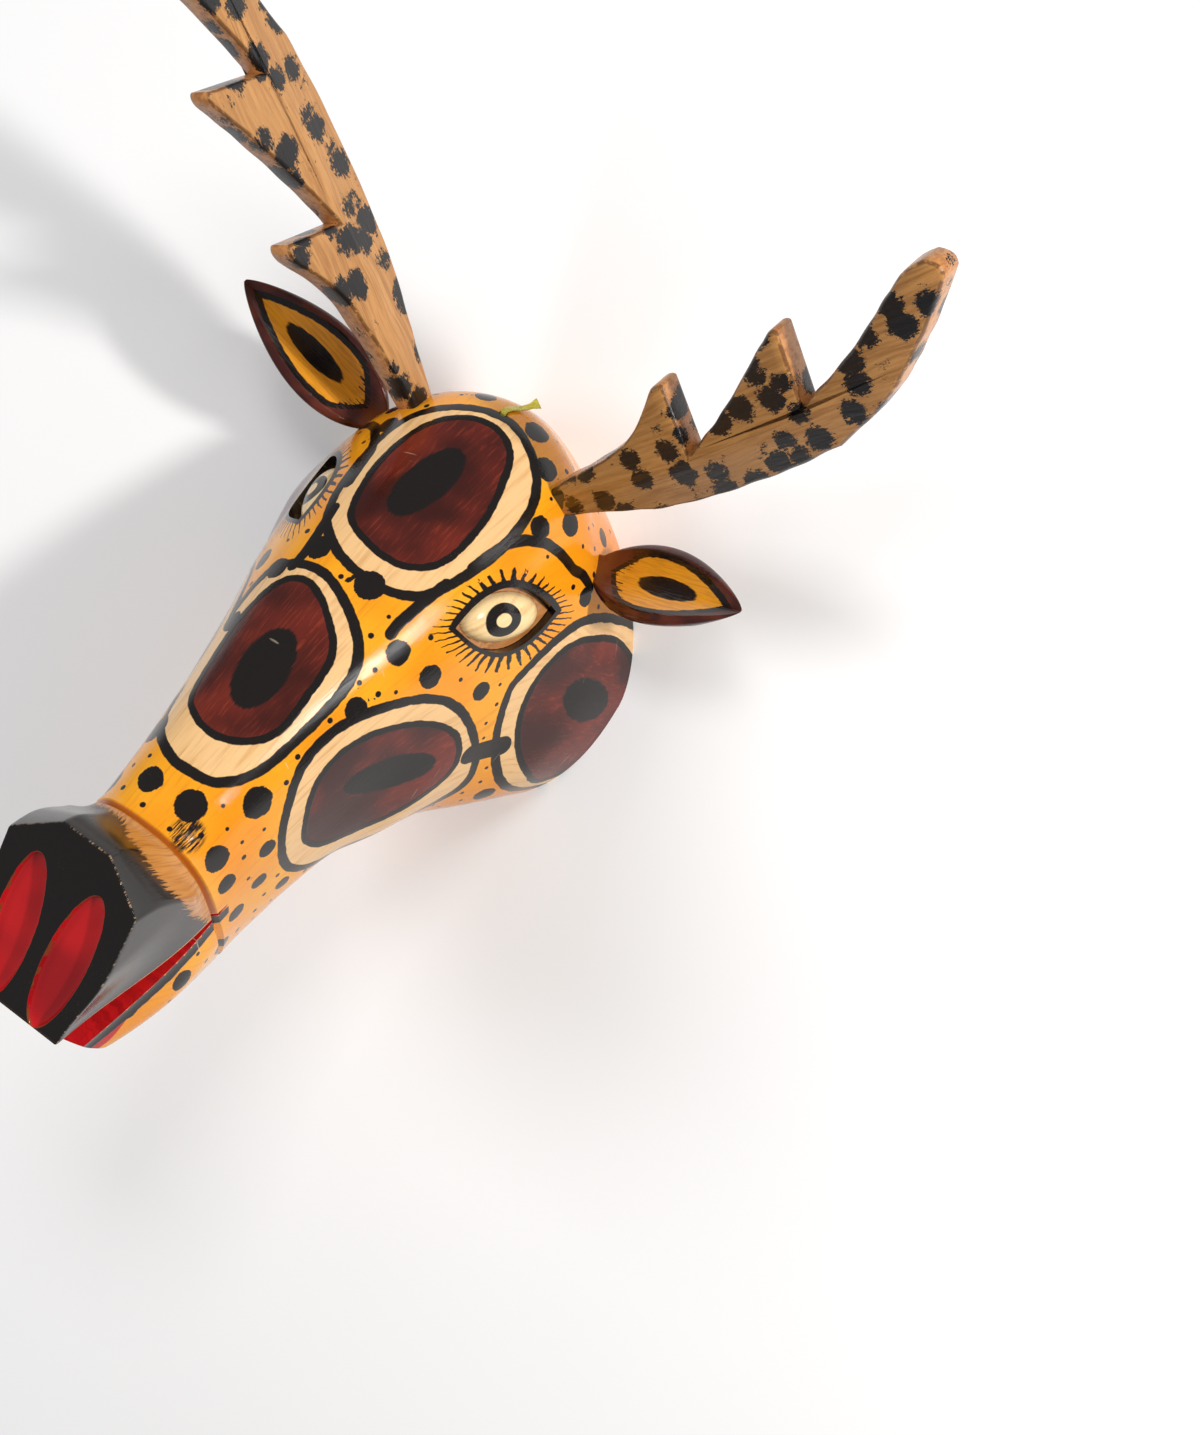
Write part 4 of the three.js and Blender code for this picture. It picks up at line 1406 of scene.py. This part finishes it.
def add_light(name, where, target, size, power, colour=(1, 1, 1), mirrored_in_varnish=False):
    data = bpy.data.lights.new(name, "AREA")
    data.shape = "RECTANGLE"
    data.size, data.size_y = size
    data.energy = power
    data.color = colour
    lamp = bpy.data.objects.new(name, data)
    bpy.context.scene.collection.objects.link(lamp)
    lamp.location = where
    lamp.visible_glossy = mirrored_in_varnish
    way = Vector(target) - Vector(where)
    lamp.rotation_mode = "QUATERNION"
    lamp.rotation_quaternion = way.to_track_quat("-Z", "Y")


def make_lights():
    middle = placed([(0, -20, 110)])[0]
    sun = middle + np.array([1.4, 1.02, 1.02])
    add_light("key", sun, middle, (0.26, 0.14), 13, (1, 0.97, 0.93))
    add_light("glint", sun, middle, (0.2, 0.1), 23, mirrored_in_varnish=True)
    add_light("fill", middle + np.array([-1.3, -0.4, 1.6]), middle, (0.9, 0.9), 18, (0.96, 0.98, 1))
    add_light("top", middle + np.array([0.0, 1.3, 1.9]), middle, (0.7, 0.5), 13)
    world = bpy.data.worlds.new("studio")
    world.use_nodes = True
    world.node_tree.nodes["Background"].inputs["Color"].default_value = (0.95, 0.96, 1, 1)
    world.node_tree.nodes["Background"].inputs["Strength"].default_value = 0.25
    bpy.context.scene.world = world


def make_camera():
    data = bpy.data.cameras.new("camera")
    data.sensor_width = 36
    data.lens = FOCAL * data.sensor_width / max(IMAGE)
    data.clip_start = 0.05
    data.clip_end = 20
    camera = bpy.data.objects.new("camera", data)
    bpy.context.scene.collection.objects.link(camera)
    right, back = unit(CAMERA_RIGHT), unit(CAMERA_BACK)
    up = np.cross(back, right)
    turn = Matrix((right, up, back)).transposed()
    camera.rotation_mode = "QUATERNION"
    camera.rotation_quaternion = turn.to_quaternion()
    camera.location = placed([CAMERA_AT])[0]
    bpy.context.scene.camera = camera


def seat(piece, node):
    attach(piece, "root")
    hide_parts(node)


make_camera()
make_lights()
make_floor()
seat(make_head(), "mask")
for side in ("left", "right"):
    seat(make_antler(side), f"{side}_antler")
    seat(make_ear(side), f"{side}_ear")
seat(make_strip(), "hanging_strip")
bpy.context.scene.view_settings.view_transform = "Standard"
